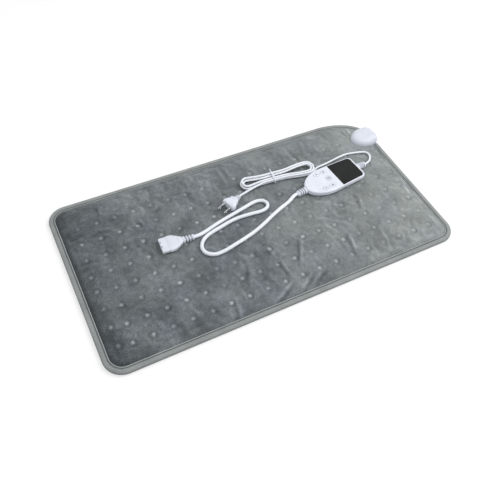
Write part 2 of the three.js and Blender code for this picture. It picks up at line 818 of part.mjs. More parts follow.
const roomEnd = reliefTip + reliefEnd + fit;
const roomRadius = reliefFlangeRadius + fit;
const padSideRoom = bar(roomStart, roomEnd, 0, reliefAxis, roomRadius, 14);
const mainsSideRoom = bar(-roomEnd, -roomStart, 0, reliefAxis, roomRadius, 14);
const reliefCut = reliefHole.add(padSideRoom).add(mainsSideRoom);

// Lower case with the posts that carry the board
let lowerCase = caseHull.intersect(lowerHalf);
for (const [x, y] of postPlaces) {
  lowerCase = lowerCase.add(post(x, y, postRadius, caseFloor / 2, boardHeight - fit));
  lowerCase = lowerCase.subtract(post(x, y, screwHeadRadius + fit, below, fit + screwHeadHeight + fit));
  lowerCase = lowerCase.subtract(post(x, y, screwRadius + fit, below, splitHeight, 12));
}
mesh(controlFrame, 'lower_case', lowerCase.subtract(reliefCut), whitePlastic);

// Keys: a cap through the upper case, a flange under it and a stem over the switch
const powerX = controlBack + powerKeyFromBack;
const timerX = controlBack + timerKeysFromBack;
const heatX = controlBack + heatKeysFromBack;
const pill = { length: pillKeyLength, width: pillKeyWidth };
const keys = [
  { name: 'power', x: powerX, y: 0, length: powerKeySize, width: powerKeySize },
  { name: 'timer_down', x: timerX, y: keyRowSide, ...pill },
  { name: 'timer_up', x: timerX + keyPairPitch, y: keyRowSide, ...pill },
  { name: 'heat_down', x: heatX, y: -keyRowSide, ...pill },
  { name: 'heat_up', x: heatX + keyPairPitch, y: -keyRowSide, ...pill },
];
const keyTop = controlHeight + keyProud;
const switchTop = seatHeight + switchHeight;
const switchBodyHeight = switchHeight * switchBodyShare;

function keyPlan({ x, y, length, width }, grow) {
  const half = width / 2 + grow;
  const reach = (length - width) / 2;
  const points = [];
  for (let i = 0; i < keySides; i += 1) {
    const angle = ((i + 0.5) * 2 * Math.PI) / keySides;
    const end = Math.cos(angle) > 0 ? reach : -reach;
    points.push(new THREE.Vector2(x + end + half * Math.cos(angle), y + half * Math.sin(angle)));
  }
  return new THREE.Shape(points);
}

// Upper case with the window seat, the display opening, key holes and posts
const windowSeat = controlHeight - windowThickness - fit;
const windowSide = block(windowStart, everywhere, -everywhere, everywhere, windowSeat, everywhere);
const paneSides = { ...controlPlan, front: controlFront - windowEndStep };
const seatPlan = bulletOutline(paneSides, windowRim);
const seatCut = slab(seatPlan, windowSeat, everywhere, 5).intersect(windowSide);
const lcdCentre = controlFront - lcdFromFront;
const [viewStart, viewEnd] = [lcdCentre - lcdLength / 2 + lcdLip, lcdCentre + lcdLength / 2 - lcdLip];
const viewSide = lcdWidth / 2 - lcdLip;
const viewCut = block(viewStart, viewEnd, -viewSide, viewSide, 0, controlHeight);
let upperCase = caseHull.intersect(upperHalf);
for (const [x, y] of postPlaces) {
  upperCase = upperCase.add(post(x, y, postRadius, seatHeight, ceiling + caseTop / 4));
  upperCase = upperCase.subtract(post(x, y, screwRadius + fit, below, ceiling - fit, 12));
}
upperCase = upperCase.subtract(seatCut).subtract(viewCut).subtract(reliefCut);
for (const key of keys) {
  upperCase = upperCase.subtract(slab(keyPlan(key, fit), ceiling - fit, everywhere, 4));
}
mesh(controlFrame, 'upper_case', upperCase, whitePlastic);

// Display: window, panel and the frame that stands on the board
const windowPlan = bulletOutline(paneSides, windowRim + fit);
const windowTrim = block(windowStart + fit, everywhere, -everywhere, everywhere, 0, everywhere);
const windowPane = slab(windowPlan, windowSeat + fit, controlHeight, 5).intersect(windowTrim);
mesh(controlFrame, 'display_window', windowPane, blackGloss);
const panelBase = ceiling - fit - lcdThickness;
const panelStart = lcdCentre - lcdLength / 2;

function displayRing(grow, low, high) {
  const halfWidth = lcdWidth / 2 + grow;
  return block(panelStart - grow, panelStart + lcdLength + grow, -halfWidth, halfWidth, low, high);
}
mesh(controlFrame, 'lcd_panel', displayRing(0, panelBase, ceiling - fit), darkPlastic);
const displayFrame = displayRing(lcdFrameWall / 2, seatHeight, panelBase - fit);
const displayHollow = displayRing(-lcdFrameWall, 0, controlHeight);
mesh(controlFrame, 'lcd_frame', displayFrame.subtract(displayHollow), whitePlastic);

// Circuit board and what is soldered to it
let board = slab(bulletOutline(controlPlan, boardMargin), boardHeight, boardTop, 5);
for (const [x, y] of postPlaces) {
  board = board.subtract(post(x, y, screwRadius + fit, 0, controlHeight, 12));
}
mesh(controlFrame, 'circuit_board', board, boardGreen);

function standing([x, y], [length, width, height]) {
  const [x0, x1] = [x - length / 2, x + length / 2];
  return block(x0, x1, y - width / 2, y + width / 2, seatHeight, seatHeight + height);
}
const triac = standing([controlBack + triacFromBack, 0], triacSize);
mesh(controlFrame, 'triac', triac, darkPlastic);
const capacitor = standing([controlBack + capacitorFromBack, capacitorSide], capacitorSize);
mesh(controlFrame, 'capacitor', capacitor, darkPlastic);
const fuseStart = controlBack + fuseFromBack;
const fuse = bar(fuseStart, fuseStart + fuseLength, fuseSide, seatHeight + fuseRadius, fuseRadius);
mesh(controlFrame, 'fuse_link', fuse, steel);
postPlaces.forEach(([x, y], i) => {
  mesh(controlFrame, `case_screw_${i + 1}`, screw(x, y, fit, ceiling - 4 * fit), steel);
});

// One key and its switch at each place
for (const key of keys) {
  const cap = softSlab(keyPlan(key, 0), ceiling - 2 * fit, keyTop, keyProud, 4, 2);
  const flange = slab(keyPlan(key, keyFlange), ceiling - fit - keySkirt, ceiling - fit, 4);
  const stem = post(key.x, key.y, switchStem / 2, switchTop + keyTravel + fit, ceiling - fit, 10);
  mesh(controlFrame, `${key.name}_key`, cap.add(flange).add(stem), whitePlastic);
  const square = standing([key.x, key.y], [switchBase, switchBase, switchBodyHeight]);
  const plunger = post(key.x, key.y, switchStem / 2, seatHeight, switchTop, 10);
  mesh(controlFrame, `${key.name}_switch`, square.add(plunger), darkPlastic);
}

// Mains plug: body, two flat blades and a boot; the front face is at X = 0, the blades point along +X
const plugFrame = frameAt(plugX, plugY, restHeight + plugHeight / 2, plugTurn);
heatingPad.add(plugFrame);
const plugPlan = taperedPlan(-plugLength, plugTaper, 0, plugNeck / 2, plugWidth / 2);
let plugBody = softSlab(plugPlan, -plugHeight / 2, plugHeight / 2, plugRound, 4, 3);
const bladeSides = [['left', bladeSpacing / 2], ['right', -bladeSpacing / 2]];
for (const [side, y] of bladeSides) {
  const [halfThick, halfWide] = [bladeThickness / 2, bladeWidth / 2];
  const slotThick = halfThick + fit;
  const slotWide = halfWide + fit;
  const slot = block(-bladeRoot - fit, plugLength, y - slotThick, y + slotThick, -slotWide, slotWide);
  plugBody = plugBody.subtract(slot);
  const blade = block(-bladeRoot, bladeLength, y - halfThick, y + halfThick, -halfWide, halfWide);
  mesh(plugFrame, `plug_blade_${side}`, blade, steel);
}
const plugBootRadius = plugBootBase / 2 - reliefRootStep;
const plugBootTip = -plugLength - fit - plugBootLength;
const plugBootEnd = -plugLength + reliefRoot;
const plugBootEnds = [mainsLeadDiameter / 2 + plugBootWall, plugBootBase / 2];
const plugBootProfile = reliefProfile(plugBootLength, ...plugBootEnds);
const plugBootPlaced = plugBootProfile.map(([place, radius]) => [plugBootTip + place, radius]);
plugBootPlaced.push([-plugLength - fit, plugBootRadius], [plugBootEnd, plugBootRadius], [plugBootEnd, 0]);
mesh(plugFrame, 'plug_boot', turned(plugBootPlaced, 0, 0), whitePlastic);
const plugBore = bar(-2 * plugLength, plugBootEnd + fit, 0, 0, plugBootRadius + fit, 14);
mesh(plugFrame, 'plug_body', plugBody.subtract(plugBore), whitePlastic);

// Hank of mains lead: loops that spiral in on the lower layer and out again on the upper one
const hankLow = restHeight + tieThickness + fit + mainsLeadDiameter / 2;
const hankFrame = frameAt(hankX, hankY, 0, hankTurn);
heatingPad.add(hankFrame);
const hankLayer = mainsLeadDiameter + hankLayerGap;
const quarterShare = THREE.MathUtils.degToRad(hankTipShare);

// Plan of one loop: two straight runs joined by half circles, traced from the right tip
function loopPlan(angle, reach, radius) {
  const half = angle % (2 * Math.PI);
  const side = half < Math.PI ? 1 : -1;
  const within = half % Math.PI;
  const run = reach - radius;
  const leaving = Math.min(within / quarterShare, 1) * (Math.PI / 2);
  const arriving = Math.min((Math.PI - within) / quarterShare, 1) * (Math.PI / 2);
  const along = THREE.MathUtils.clamp((within - quarterShare) / (Math.PI - 2 * quarterShare), 0, 1);
  const x = run * (1 - 2 * along) + radius * (Math.cos(leaving) - Math.cos(arriving));
  const y = -radius * Math.min(Math.sin(leaving), Math.sin(arriving));
  return [side * x, side * y];
}

function hankPoint(angle, first, last) {
  const middle = (first + last) / 2;
  const turns = (middle - first - Math.abs(angle - middle)) / (2 * Math.PI);
  const inward = turns * hankPitch;
  const [x, flatY] = loopPlan(angle, hankHalfLength - inward, hankHalfWidth - inward);
  const fromWaist = Math.abs(x - hankWaistPlace) / hankWaistReach;
  const drawn = hankWaist * Math.exp(-(fromWaist ** hankWaistPower));
  const y = Math.sign(flatY) * Math.max(Math.abs(flatY) - drawn, 0);
  const climb = THREE.MathUtils.smoothstep(angle, middle - Math.PI / 2, middle + Math.PI / 2);
  return new THREE.Vector3(x, y, hankLow + climb * hankLayer);
}

function straightEnd(stations, length) {
  const [end, before] = [stations[stations.length - 1], stations[stations.length - 2]];
  const direction = end.clone().sub(before).normalize();
  return end.clone().addScaledVector(direction, length);
}

function hankStations() {
  const first = THREE.MathUtils.degToRad(hankStartAngle);
  const last = 2 * Math.PI * hankLoops + THREE.MathUtils.degToRad(hankEndAngle);
  const steps = Math.round(((last - first) / (2 * Math.PI)) * hankLoopSteps);
  const stations = [];
  for (let i = 0; i <= steps; i += 1) {
    stations.push(hankPoint(first + ((last - first) * i) / steps, first, last));
  }
  stations.push(straightEnd(stations, mainsLeadDiameter));
  stations.reverse();
  stations.push(straightEnd(stations, mainsLeadDiameter));
  return stations.reverse();
}

// Least gap between stretches of a tube that are not neighbours along it
function leastSelfGap(stations, diameter) {
  const dense = [];
  const path = new StationPath(stations);
  const count = 12 * stations.length;
  for (let i = 0; i <= count; i += 1) {
    dense.push(path.getPoint(i / count));
  }
  let least = Infinity;
  const lengths = [0];
  for (let i = 1; i < dense.length; i += 1) {
    lengths.push(lengths[i - 1] + dense[i].distanceTo(dense[i - 1]));
  }
  for (let i = 0; i < dense.length; i += 1) {
    for (let j = i + 1; j < dense.length; j += 1) {
      if (lengths[j] - lengths[i] > 4 * diameter) {
        least = Math.min(least, dense[i].distanceTo(dense[j]) - diameter);
      }
    }
  }
  return least;
}
const hankRoute = hankStations();
const hankGap = leastSelfGap(hankRoute, mainsLeadDiameter);
console.log(`least gap between the hank's loops: ${hankGap.toFixed(2)} mm`);
mesh(hankFrame, 'mains_hank', tube(hankRoute, mainsLeadDiameter, wireSides), whiteCord);

// Tie round the waist of the hank, with its twisted end
const inTie = hankRoute.filter(({ x }) => Math.abs(x - hankWaistPlace) < hankWaistReach / 2);
const tieReach = mainsLeadDiameter / 2 + fit;
const tieNear = Math.min(...inTie.map(({ y }) => y)) - tieReach;
const tieFar = Math.max(...inTie.map(({ y }) => y)) + tieReach;
const tieLow = hankLow - tieReach;
const tieHigh = hankLow + hankLayer + tieReach;
const tieSide = tieWidth / 2;

function tieBlock(grow, half) {
  const [x0, x1] = [hankWaistPlace - half, hankWaistPlace + half];
  return block(x0, x1, tieNear - grow, tieFar + grow, tieLow - grow, tieHigh + grow);
}
const tieBand = tieBlock(tieThickness, tieSide).subtract(tieBlock(0, 2 * tieSide));
const tailX = hankWaistPlace - tieSide;
const tailTop = tieHigh + tieThickness;
const tieEnd = block(tailX, tailX + tieSide, tieFar, tieFar + tieTail, tailTop - 2 * tieThickness, tailTop);
const tieInside = tieBlock(0, 2 * tieSide);
mesh(hankFrame, 'hank_tie', tieBand.add(tieEnd.subtract(tieInside)), whitePlastic);

// A point of a placed group, in the pad's frame
function placed(frame, x, y, z) {
  return new THREE.Vector3(x, y, z).applyMatrix4(frame.matrix);
}

// A cord between two held ends: each end leaves straight, the points between are [x, y, lift]
function cordStations(ends, points, rest, steps) {
  const [[start, startNext], [end, endNext]] = ends;
  const middle = points.map(([x, y, lift]) => new THREE.Vector3(x, y, rest + lift));
  const curve = smoothStations([startNext, ...middle, endNext], steps);
  return [start, ...curve, end];
}

function heldEnd(frame, x, direction, z, diameter) {
  const near = x + direction * fit;
  return [placed(frame, near, 0, z), placed(frame, near + direction * diameter, 0, z)];
}

// Lead from the controller to the connector
const padLeadPoints = [
  [-84, 9.2, 0.5], [-68, 14, 0], [-50, 19, 0], [-30, 23.6, 0], [-10, 28, 0], [4, 31.2, 0],
  [14, 33.2, 0], [23, 33, 0], [30.4, 29.3, 0], [33.2, 22.8, 0], [30.4, 16.4, 0], [23, 12.7, 0],
  [13, 12.2, 0], [0, 13.6, 0], [-20, 14.6, 0], [-37, 13, 0], [-55, 9, 0], [-72, 5, 0],
  [-84, 0.4, 0], [-92.4, -6.4, 0], [-96.8, -15, 0], [-96.2, -24, 0], [-90.4, -31, 0], [-81, -34.6, 0],
  [-68, -34, 0], [-50, -30.2, 0], [-30, -25.5, 0], [-10, -19.7, 0], [10, -11.8, 0], [30, -2.6, 0],
  [48, 4.8, 0], [66, 11, 0.6],
];
const padLeadRest = restHeight + padLeadDiameter / 2;
const padLeadEnds = [
  heldEnd(connectorFrame, 0, -1, 0, padLeadDiameter),
  heldEnd(controlFrame, reliefTip, -1, reliefAxis, padLeadDiameter),
];
const padLeadRoute = cordStations(padLeadEnds, padLeadPoints, padLeadRest, padLeadSteps);
mesh(heatingPad, 'pad_lead', tube(padLeadRoute, padLeadDiameter, cordSides), whiteCord);

// Mains lead from the controller round to the hank
const mainsPoints = [
  [240, 36.6, 1.8], [246, 42.6, 0.6], [249.6, 49, 0.1], [249.4, 55.2, 0], [244.6, 59.8, 0], [236, 62.6, 0],
  [224, 65.6, 0], [212, 67.4, 0], [198, 66.4, 0], [180, 63.6, 0], [162, 61.2, 0], [148, 59.2, 0.4],
];
const mainsRest = restHeight + mainsLeadDiameter / 2;
const hankStart = hankRoute[0];
const hankEnd = hankRoute[hankRoute.length - 1];

function hankJoint(end, before, reach) {
  const direction = end.clone().sub(before).normalize();
  const near = end.clone().addScaledVector(direction, fit);
  const far = near.clone().addScaledVector(direction, reach);
  return [near.applyMatrix4(hankFrame.matrix), far.applyMatrix4(hankFrame.matrix)];
}
const mainsEnds = [
  heldEnd(controlFrame, -reliefTip, 1, reliefAxis, mainsLeadDiameter),
  hankJoint(hankStart, hankRoute[1], mainsLeadDiameter),
];
const mainsRoute = cordStations(mainsEnds, mainsPoints, mainsRest, mainsLeadSteps);
mesh(heatingPad, 'mains_lead', tube(mainsRoute, mainsLeadDiameter, cordSides), whiteCord);

// Short tail from the hank to the plug
const tailEnds = [
  hankJoint(hankEnd, hankRoute[hankRoute.length - 2], mainsLeadDiameter),
  heldEnd(plugFrame, plugBootTip, -1, 0, mainsLeadDiameter),
];
const tailRoute = cordStations(tailEnds, [], mainsRest, plugTailSteps);
mesh(heatingPad, 'plug_tail', tube(tailRoute, mainsLeadDiameter, cordSides), whiteCord);

export default heatingPad;
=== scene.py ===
import math
from collections import namedtuple

import bmesh
import bpy
from mathutils import Matrix, Vector, noise


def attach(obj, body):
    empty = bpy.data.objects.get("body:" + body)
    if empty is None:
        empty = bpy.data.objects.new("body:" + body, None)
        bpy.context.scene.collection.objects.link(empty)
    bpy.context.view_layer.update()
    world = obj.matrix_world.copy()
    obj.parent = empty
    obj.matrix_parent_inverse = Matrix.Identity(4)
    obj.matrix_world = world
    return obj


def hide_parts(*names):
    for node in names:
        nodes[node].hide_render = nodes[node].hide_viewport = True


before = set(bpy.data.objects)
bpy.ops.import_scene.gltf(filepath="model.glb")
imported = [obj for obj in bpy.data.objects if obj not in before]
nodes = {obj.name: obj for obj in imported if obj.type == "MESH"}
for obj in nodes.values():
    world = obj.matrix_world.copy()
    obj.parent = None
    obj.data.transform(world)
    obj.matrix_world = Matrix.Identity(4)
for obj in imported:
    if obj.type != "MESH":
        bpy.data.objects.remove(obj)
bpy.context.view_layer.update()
scene = bpy.context.scene
MM = 0.001

# Camera at the photograph's viewing angle
CAMERA_TARGET = Vector((-0.028967, -0.040753, 0.003))
CAMERA_DISTANCE = 0.858442
CAMERA_AZIMUTH = math.radians(-32.178)
CAMERA_ELEVATION = math.radians(53.606)
CAMERA_ROLL = math.radians(6.418)
CAMERA_LENS = 40.681

# Sizes shared by several pieces
FIT = 0.0003
EDGE_BEVEL = 0.0002
SMALL_ROUND = 0.0001
CUT_PAST = 0.001
OVAL_POINTS = 48
PLAIN_SHADING = 0.5

# Plans: the two ends, the middle of the round end, half widths there and at the front, front corners
Plan = namedtuple("Plan", "back front bulge half front_half corner")

# Pad
PAD_LENGTH = 0.576
PAD_WIDTH = 0.305
PAD_CORNER = 0.029
SOCKET_CORNER_LENGTH = 0.085
SOCKET_CORNER_WIDTH = 0.052
REST_HEIGHT = 0.0121

# Cords: points are place in plan and lift above the plush, in millimetres
PAD_LEAD_DIAMETER = 0.0058
MAINS_DIAMETER = 0.0034
ROUTE_STEP = 0.002
CORD_HELD = 0.004
PAD_LEAD_POINTS = [
    (-84, 9.2, 0.5), (-68, 14, 0), (-50, 19, 0), (-30, 23.6, 0), (-10, 28, 0), (4, 31.2, 0),
    (14, 33.2, 0), (23, 33, 0), (30.4, 29.3, 0), (33.2, 22.8, 0), (30.4, 16.4, 0), (23, 12.7, 0),
    (13, 12.2, 0), (0, 13.6, 0), (-20, 14.6, 0), (-37, 13, 0), (-55, 9, 0), (-72, 5, 0), (-84, 0.4, 0),
    (-92.4, -6.4, 0), (-96.8, -15, 0), (-96.2, -24, 0), (-90.4, -31, 0), (-81, -34.6, 0), (-68, -34, 0),
    (-50, -30.2, 0), (-30, -25.5, 0), (-10, -19.7, 0), (10, -11.8, 0), (30, -2.6, 0), (48, 4.8, 0),
    (66, 11, 0.6),
]
MAINS_POINTS = [
    (240, 36.6, 1.8), (246, 42.6, 0.6), (249.6, 49, 0.1), (249.4, 55.2, 0), (244.6, 59.8, 0),
    (236, 62.6, 0), (224, 65.6, 0), (212, 67.4, 0), (198, 66.4, 0), (180, 63.6, 0), (162, 61.2, 0),
    (148, 59.2, 0.4),
]

# Hank of mains lead
HANK_HALF_LENGTH = 0.0665
HANK_HALF_WIDTH = 0.0134
HANK_LOOPS = 3
HANK_LOOP_STEPS = 32
HANK_PITCH = 0.00415
HANK_LAYER = 0.0039
HANK_LOW = 0.0147
HANK_WAIST = 0.0046
HANK_WAIST_PLACE = -0.009
HANK_WAIST_REACH = 0.04
HANK_WAIST_POWER = 4
HANK_START = math.radians(20)
HANK_END = math.radians(118)
HANK_TIP_SHARE = math.radians(37.5)

# Tie of the hank: its section runs over shares of the half width and bulges
TIE_HALF_WIDTH = 0.0016
TIE_GAP = 0.0006
TIE_SECTION = [
    (-1, 0.0), (-0.8, 0.0003), (0, 0.00038), (0.8, 0.0003), (1, 0.0), (0.8, -0.0003), (-0.8, -0.0003),
]
TIE_POWER = 4.5
TIE_POINTS = 64
TIE_TWIST = 0.0005
TIE_WAVES = 3
TAIL_STEPS = 24
TAIL_TURNS = 2
TAIL_COIL, TAIL_SPREAD = 0.0006, 0.0004
TAIL_RADIUS = 0.0005
TAIL_SIDES = 8
TAIL_LIFT = 0.0012
TAIL_LENGTH = 0.0066

# Strain reliefs: radii at the tip and the base, and grooves as shares of the length
CASE_RELIEF_TIP = 0.0703
CASE_RELIEF_AXIS = 0.00475
CASE_RELIEF_LENGTH = 0.016
CASE_RELIEF_POWER = 3.0
CASE_RELIEF_WIDE = 1.28
PAD_RELIEF_RADII = (0.0039, 0.0044)
MAINS_RELIEF_RADII = (0.0037, 0.0044)
CONNECTOR_BOOT_LENGTH = 0.018
CONNECTOR_BOOT_RADII = (0.0038, 0.0043)
CONNECTOR_BOOT_WIDE = 1.15
PLUG_BOOT_TIP = -0.0273
PLUG_BOOT_LENGTH = 0.01
PLUG_BOOT_RADII = (0.0034, 0.0056)
# Lighter painted shade in the grooves of the plug's boot
PLUG_BOOT_GROOVE_SHADE = 0.42
BOOT_POWER = 2.4
GROOVES = 3
GROOVE_SHARE = 0.055
GROOVE_DEPTH = 0.08
GROOVE_LIP = 0.025
# Painted shade on the groove floors and, less, on their edges
GROOVE_SHADE = 0.2
GROOVE_EDGE_SHADE = 0.4
RELIEF_ROOT = 0.0012

# Controller
CONTROL_PLAN = Plan(0.054, 0.054, -0.01, 0.026, 0.024, 0.008)
WINDOW_END_STEP = 0.0015
PANE_PLAN = CONTROL_PLAN._replace(front=CONTROL_PLAN.front - WINDOW_END_STEP)
CONTROL_HEIGHT = 0.01
CONTROL_SPLIT = 0.0046
UNDER_DRAW = 0.0045
CASE_SEAM = 0.0006
CASE_ROUND = 0.0022
CUT_TOP = CONTROL_HEIGHT + 2 * CUT_PAST
WINDOW_START = 0.0052
WINDOW_RIM = 0.002
SEAT_DEPTH = 0.0014
PANE_DEPTH = 0.0011
PANE_PROUD = 0.0001
PANE_ROUND = 0.0004
SCREW_HOLES = [(0.043, 0.014), (0.043, -0.014), (-0.041, 0.009), (-0.041, -0.009)]
SCREW_HOLE_RADIUS = 0.0026
SCREW_HOLE_DEPTH = 0.0015

# Keys, by place, length and width, and their signs, with angles in degrees
POWER_KEY = 0.011
KEY_LENGTH = 0.011
KEY_WIDTH = 0.007
KEY_ROW = 0.0155
KEYS = {
    "power_key": (-0.008, 0, POWER_KEY, POWER_KEY),
    "timer_down_key": (-0.022, KEY_ROW, KEY_LENGTH, KEY_WIDTH),
    "timer_up_key": (-0.0085, KEY_ROW, KEY_LENGTH, KEY_WIDTH),
    "heat_down_key": (-0.025, -KEY_ROW, KEY_LENGTH, KEY_WIDTH),
    "heat_up_key": (-0.0115, -KEY_ROW, KEY_LENGTH, KEY_WIDTH),
}
KEY_FOOT = 0.0072
KEY_TOP = 0.0105
KEY_ROUND = 0.0009
KEY_HOLE_FLOOR = 0.0062
SIGN_LENGTH, SIGN_WIDTH = 0.0044, 0.0011
SIGN_SINK, SIGN_PROUD = 0.0001, 0.00005
SIGN_LAYER = 0.00003
RING_OUTSIDE, RING_INSIDE = 0.0031, 0.002
RING_START, RING_END = 60, -240
RING_STEPS = 30
RING_BAR_SHARE = 0.6

# Connector: stations are place along it, half width and half height
CONNECTOR_HALF_HEIGHT = 0.00425
SHELL_START = 0.0183
SHELL_HALF = 0.014
SHELL_BACK = [(SHELL_START, 0.0041, 0.0038)]
SHELL_FLARE = dict(back=SHELL_START, taper=0.017, neck=0.0046, half=SHELL_HALF, shift=0.0002,
                   low=0.0041, swell=0.00015, reach=0.006)
SHELL_FRONT = [
    (0.0408, SHELL_HALF, CONNECTOR_HALF_HEIGHT), (0.0412, 0.0138, 0.00405), (0.0413, 0.0134, 0.0037),
]
SHELL_POWER = 4.2
FLARE_BULGE = 0.75
GRIP_START, GRIP_END = 0.023, 0.0375
GRIP_SHARE = 0.74
GRIP_FLOOR = 0.0037
CONNECTOR_CUT_TOP = 0.006
NOSE = [
    (0.0405, 0.0127, 0.0034), (0.0418, 0.0132, 0.0037), (0.0516, 0.0132, 0.0037),
    (0.0522, 0.013, 0.0035), (0.0526, 0.0124, 0.003),
]
NOSE_POWER = 5.0
BORE_START, BORE_END = 0.034, 0.06
BORE_RADIUS = 0.0019
BORE_PITCH = 0.0075
NOTCH_START, NOTCH_END = 0.0502, 0.054
NOTCH_PLACE = 0.0042
NOTCH_HALF = 0.0013
NOTCH_FLOOR = 0.0008

# Plug
PLUG_HALF_HEIGHT = 0.006
PLUG_NECK = -0.014
PLUG_NECK_HALF = 0.0068
PLUG_LOW = 0.0054
PLUG_COLLAR = [
    (-0.017, 0.0066, PLUG_LOW), (-0.0166, 0.0073, 0.0059), (-0.0144, 0.0073, 0.0059),
    (PLUG_NECK, PLUG_NECK_HALF, PLUG_LOW),
]
PLUG_FLARE = dict(back=PLUG_NECK, taper=0.0092, neck=PLUG_NECK_HALF, half=0.0116, shift=0.0003,
                  low=PLUG_LOW, swell=0.0005, reach=0.008)
PLUG_FACE = [
    (-0.0042, 0.0117, 0.0059), (-0.004, 0.0119, PLUG_HALF_HEIGHT), (-0.0028, 0.0119, PLUG_HALF_HEIGHT),
    (-0.0026, 0.0115, 0.0057), (-0.0008, 0.0114, 0.0056), (-0.0002, 0.0111, 0.0053), (0, 0.0105, 0.0047),
]
PLUG_POWER = 6.0
BLADE_PLACE = 0.00635
BLADE_HALF = 0.003175
BLADE_EDGE = [(-0.009, BLADE_HALF), (0.0132, BLADE_HALF), (0.0147, 0.0026), (0.0155, 0.0013)]
BLADE_HALF_THICK = 0.00075
BLADE_HOLE_PLACE = 0.0106
BLADE_HOLE = 0.0032

# Socket on the pad's corner
SOCKET_PLAN = Plan(0.027, 0.024, 0, 0.0205, 0.019, 0.012)
DOME_BASE, DOME_TOP = 0.0016, 0.02
DOME_POWER = 4.0
DOME_STEPS = 18
DOME_TIP = 0.05
MOUTH_START, MOUTH_END = 0.005, 0.04
MOUTH_HALF, MOUTH_HALF_HEIGHT = 0.0138, 0.0043
MOUTH_POWER = 7
MOUTH_AXIS = 0.0092
SOCKET_HOLE_LOW, SOCKET_HOLE_HIGH = -0.01, 0.04
PLUSH_UNDER_SOCKET = 0.001

# Binding tape: inset and height in millimetres, and painted shading, round its folded section; painted shade
# lies on its outer edge and in its sewn groove and inner fold, painted highlight on its ridges
TAPE_SECTION = [
    (0.0, 3.0, 0.2), (0.12, 4.1, 0.25), (0.5, 5.1, 0.42), (1.2, 5.75, 0.5), (2.4, 6.0, 0.54),
    (4.4, 6.02, 0.55), (6.4, 5.95, 0.52), (7.2, 5.6, 0.12), (7.6, 5.1, 0.0), (8.0, 5.1, 0.0),
    (8.4, 5.6, 0.3), (9.0, 5.95, 0.74), (9.6, 5.9, 0.74), (10.0, 5.5, 0.1), (10.0, 5.0, 0.1),
    (9.0, 4.9, 0.74), (2.4, 4.9, 0.54), (1.3, 4.3, 0.5), (1.0, 3.0, 0.5), (1.3, 1.7, 0.5),
    (2.4, 0.9, 0.5), (9.0, 0.85, 0.5), (10.0, 0.6, 0.5), (9.9, 0.15, 0.5), (9.4, 0.0, 0.5),
    (2.4, 0.0, 0.5), (1.2, 0.25, 0.5), (0.5, 0.9, 0.5), (0.12, 1.9, 0.5),
]
TAPE_SPACING = 0.0025
TAPE_SWAY = 0.0002
TAPE_SWAY_SCALE = 55
TAPE_SWAY_FROM = 5
STITCH_PITCH = 0.0036
STITCH_INSET = 0.0078
STITCH_HALF = 0.0012
STITCH_RADIUS = 0.00028
STITCH_TIP = 0.35
STITCH_LEVELS = (-1, -0.6, 0, 0.6, 1)
STITCH_SIDES = 6
STITCH_HEIGHT = 0.0052
STITCH_ARCH = 0.0003

# Plush top: its crown is inset and height in millimetres, a noise is scale and layer
PLUSH_STEP = 0.0016
PLUSH_RIM = 0.002
PLUSH_FLOOR = 0.003
PLUSH_CAP = 0.01205
CROWN = [
    (2, 4.2), (9.4, 4.4), (10.6, 5.35), (12, 6.7), (14, 8.3), (17, 9.05), (22, 9.9), (30, 10.45),
    (45, 10.85), (66, 11.15), (110, 11.45), (200, 11.5),
]
LOOSE_FROM, LOOSE_REACH = 0.012, 0.02
PLUSH_WAVES = [(0.00035, 22, 3), (0.0002, 70, 8)]
# Patchy strength of the painted shading on the wrinkles' slopes
SLOPE_SHADE_NOISE = (11, 9)
SLOPE_SHADE_MIDDLE, SLOPE_SHADE_SPREAD, SLOPE_SHADE_LEAST = 0.5, 1.5, 0.1

# Dots of the plush
DOT_COLUMNS = 20
DOT_ROWS = 8
DOT_FIRST = (-0.2718, -0.117)
DOT_PITCH = (0.02905, 0.0303)
DOT_ROW_SHIFT = 0.0028
DOT_RADIUS = 0.0036
DOT_RISE = 0.0005
DOT_DIP = 0.0003
DOT_BRIGHT = 0.55
DOT_PLATEAU = 1.6
# Painted shade in the ring round each dot, deepest on the side that DOT_LEAN points to
DOT_SHADE = 0.17
DOT_LEAN = (0.82, -0.37)
DOT_MARGIN = 0.016
DOT_SOCKET_GAP = 0.007
DOT_DRAW = (0.01, 0.0036)
DOT_DRAW_ROWS = 4
DOT_CELL = 0.01
DOT_NOISE = (90, 5)
DOT_MIDDLE, DOT_SPREAD = 0.78, 0.5
CLARITY_MIDDLE, CLARITY_ALONG, CLARITY_ACROSS = 0.78, 0.9, 1.7
CLARITY_LEAST, CLARITY_MOST = 0.3, 1.1
RIGHT_CLARITY, RIGHT_FALL, RIGHT_FROM, RIGHT_MOST = 0.92, 2.7, 0.02, 0.9

# Creases of the plush, from end to end in millimetres, and the shade along its left side
CREASES = [
    (-37, -145, -3, -128), (10, -141, 31, -127), (30, -139, 56, -125), (44, -59, 23, -98),
    (-13, -53, -7, -68), (-3, -79, -2, -110), (119, -78, 111, -114), (-52, -72, -63, -100),
    (-93, -123, -100, -141), (238, 125, 240, 104), (246, 125, 246, 105), (278, 62, 274, 35),
    (175, -19, 169, -43), (-214, 124, -216, 108), (-227, 77, -208, 72), (-167, 76, -163, 61),
]
CREASE_WIDTH = 0.0026
CREASE_DEPTH = 0.0007
CREASE_REACH = 5 * CREASE_WIDTH
CREASE_RUN = 0.7
CREASE_WANDER = 0.0016
CREASE_NOISE = (120, 6)
LIP_PLACE = 2.1
LIP_SHARE = 0.4
# Painted highlight on the crease lips and painted shade in their valleys
LIP_HIGHLIGHT, VALLEY_SHADE = 0.15, 0.36
LEFT_SHADE = 0.26
LEFT_SHADE_FROM = 0.255
LEFT_SHADE_REACH = 0.017
LEFT_SHADE_FADE = 0.006

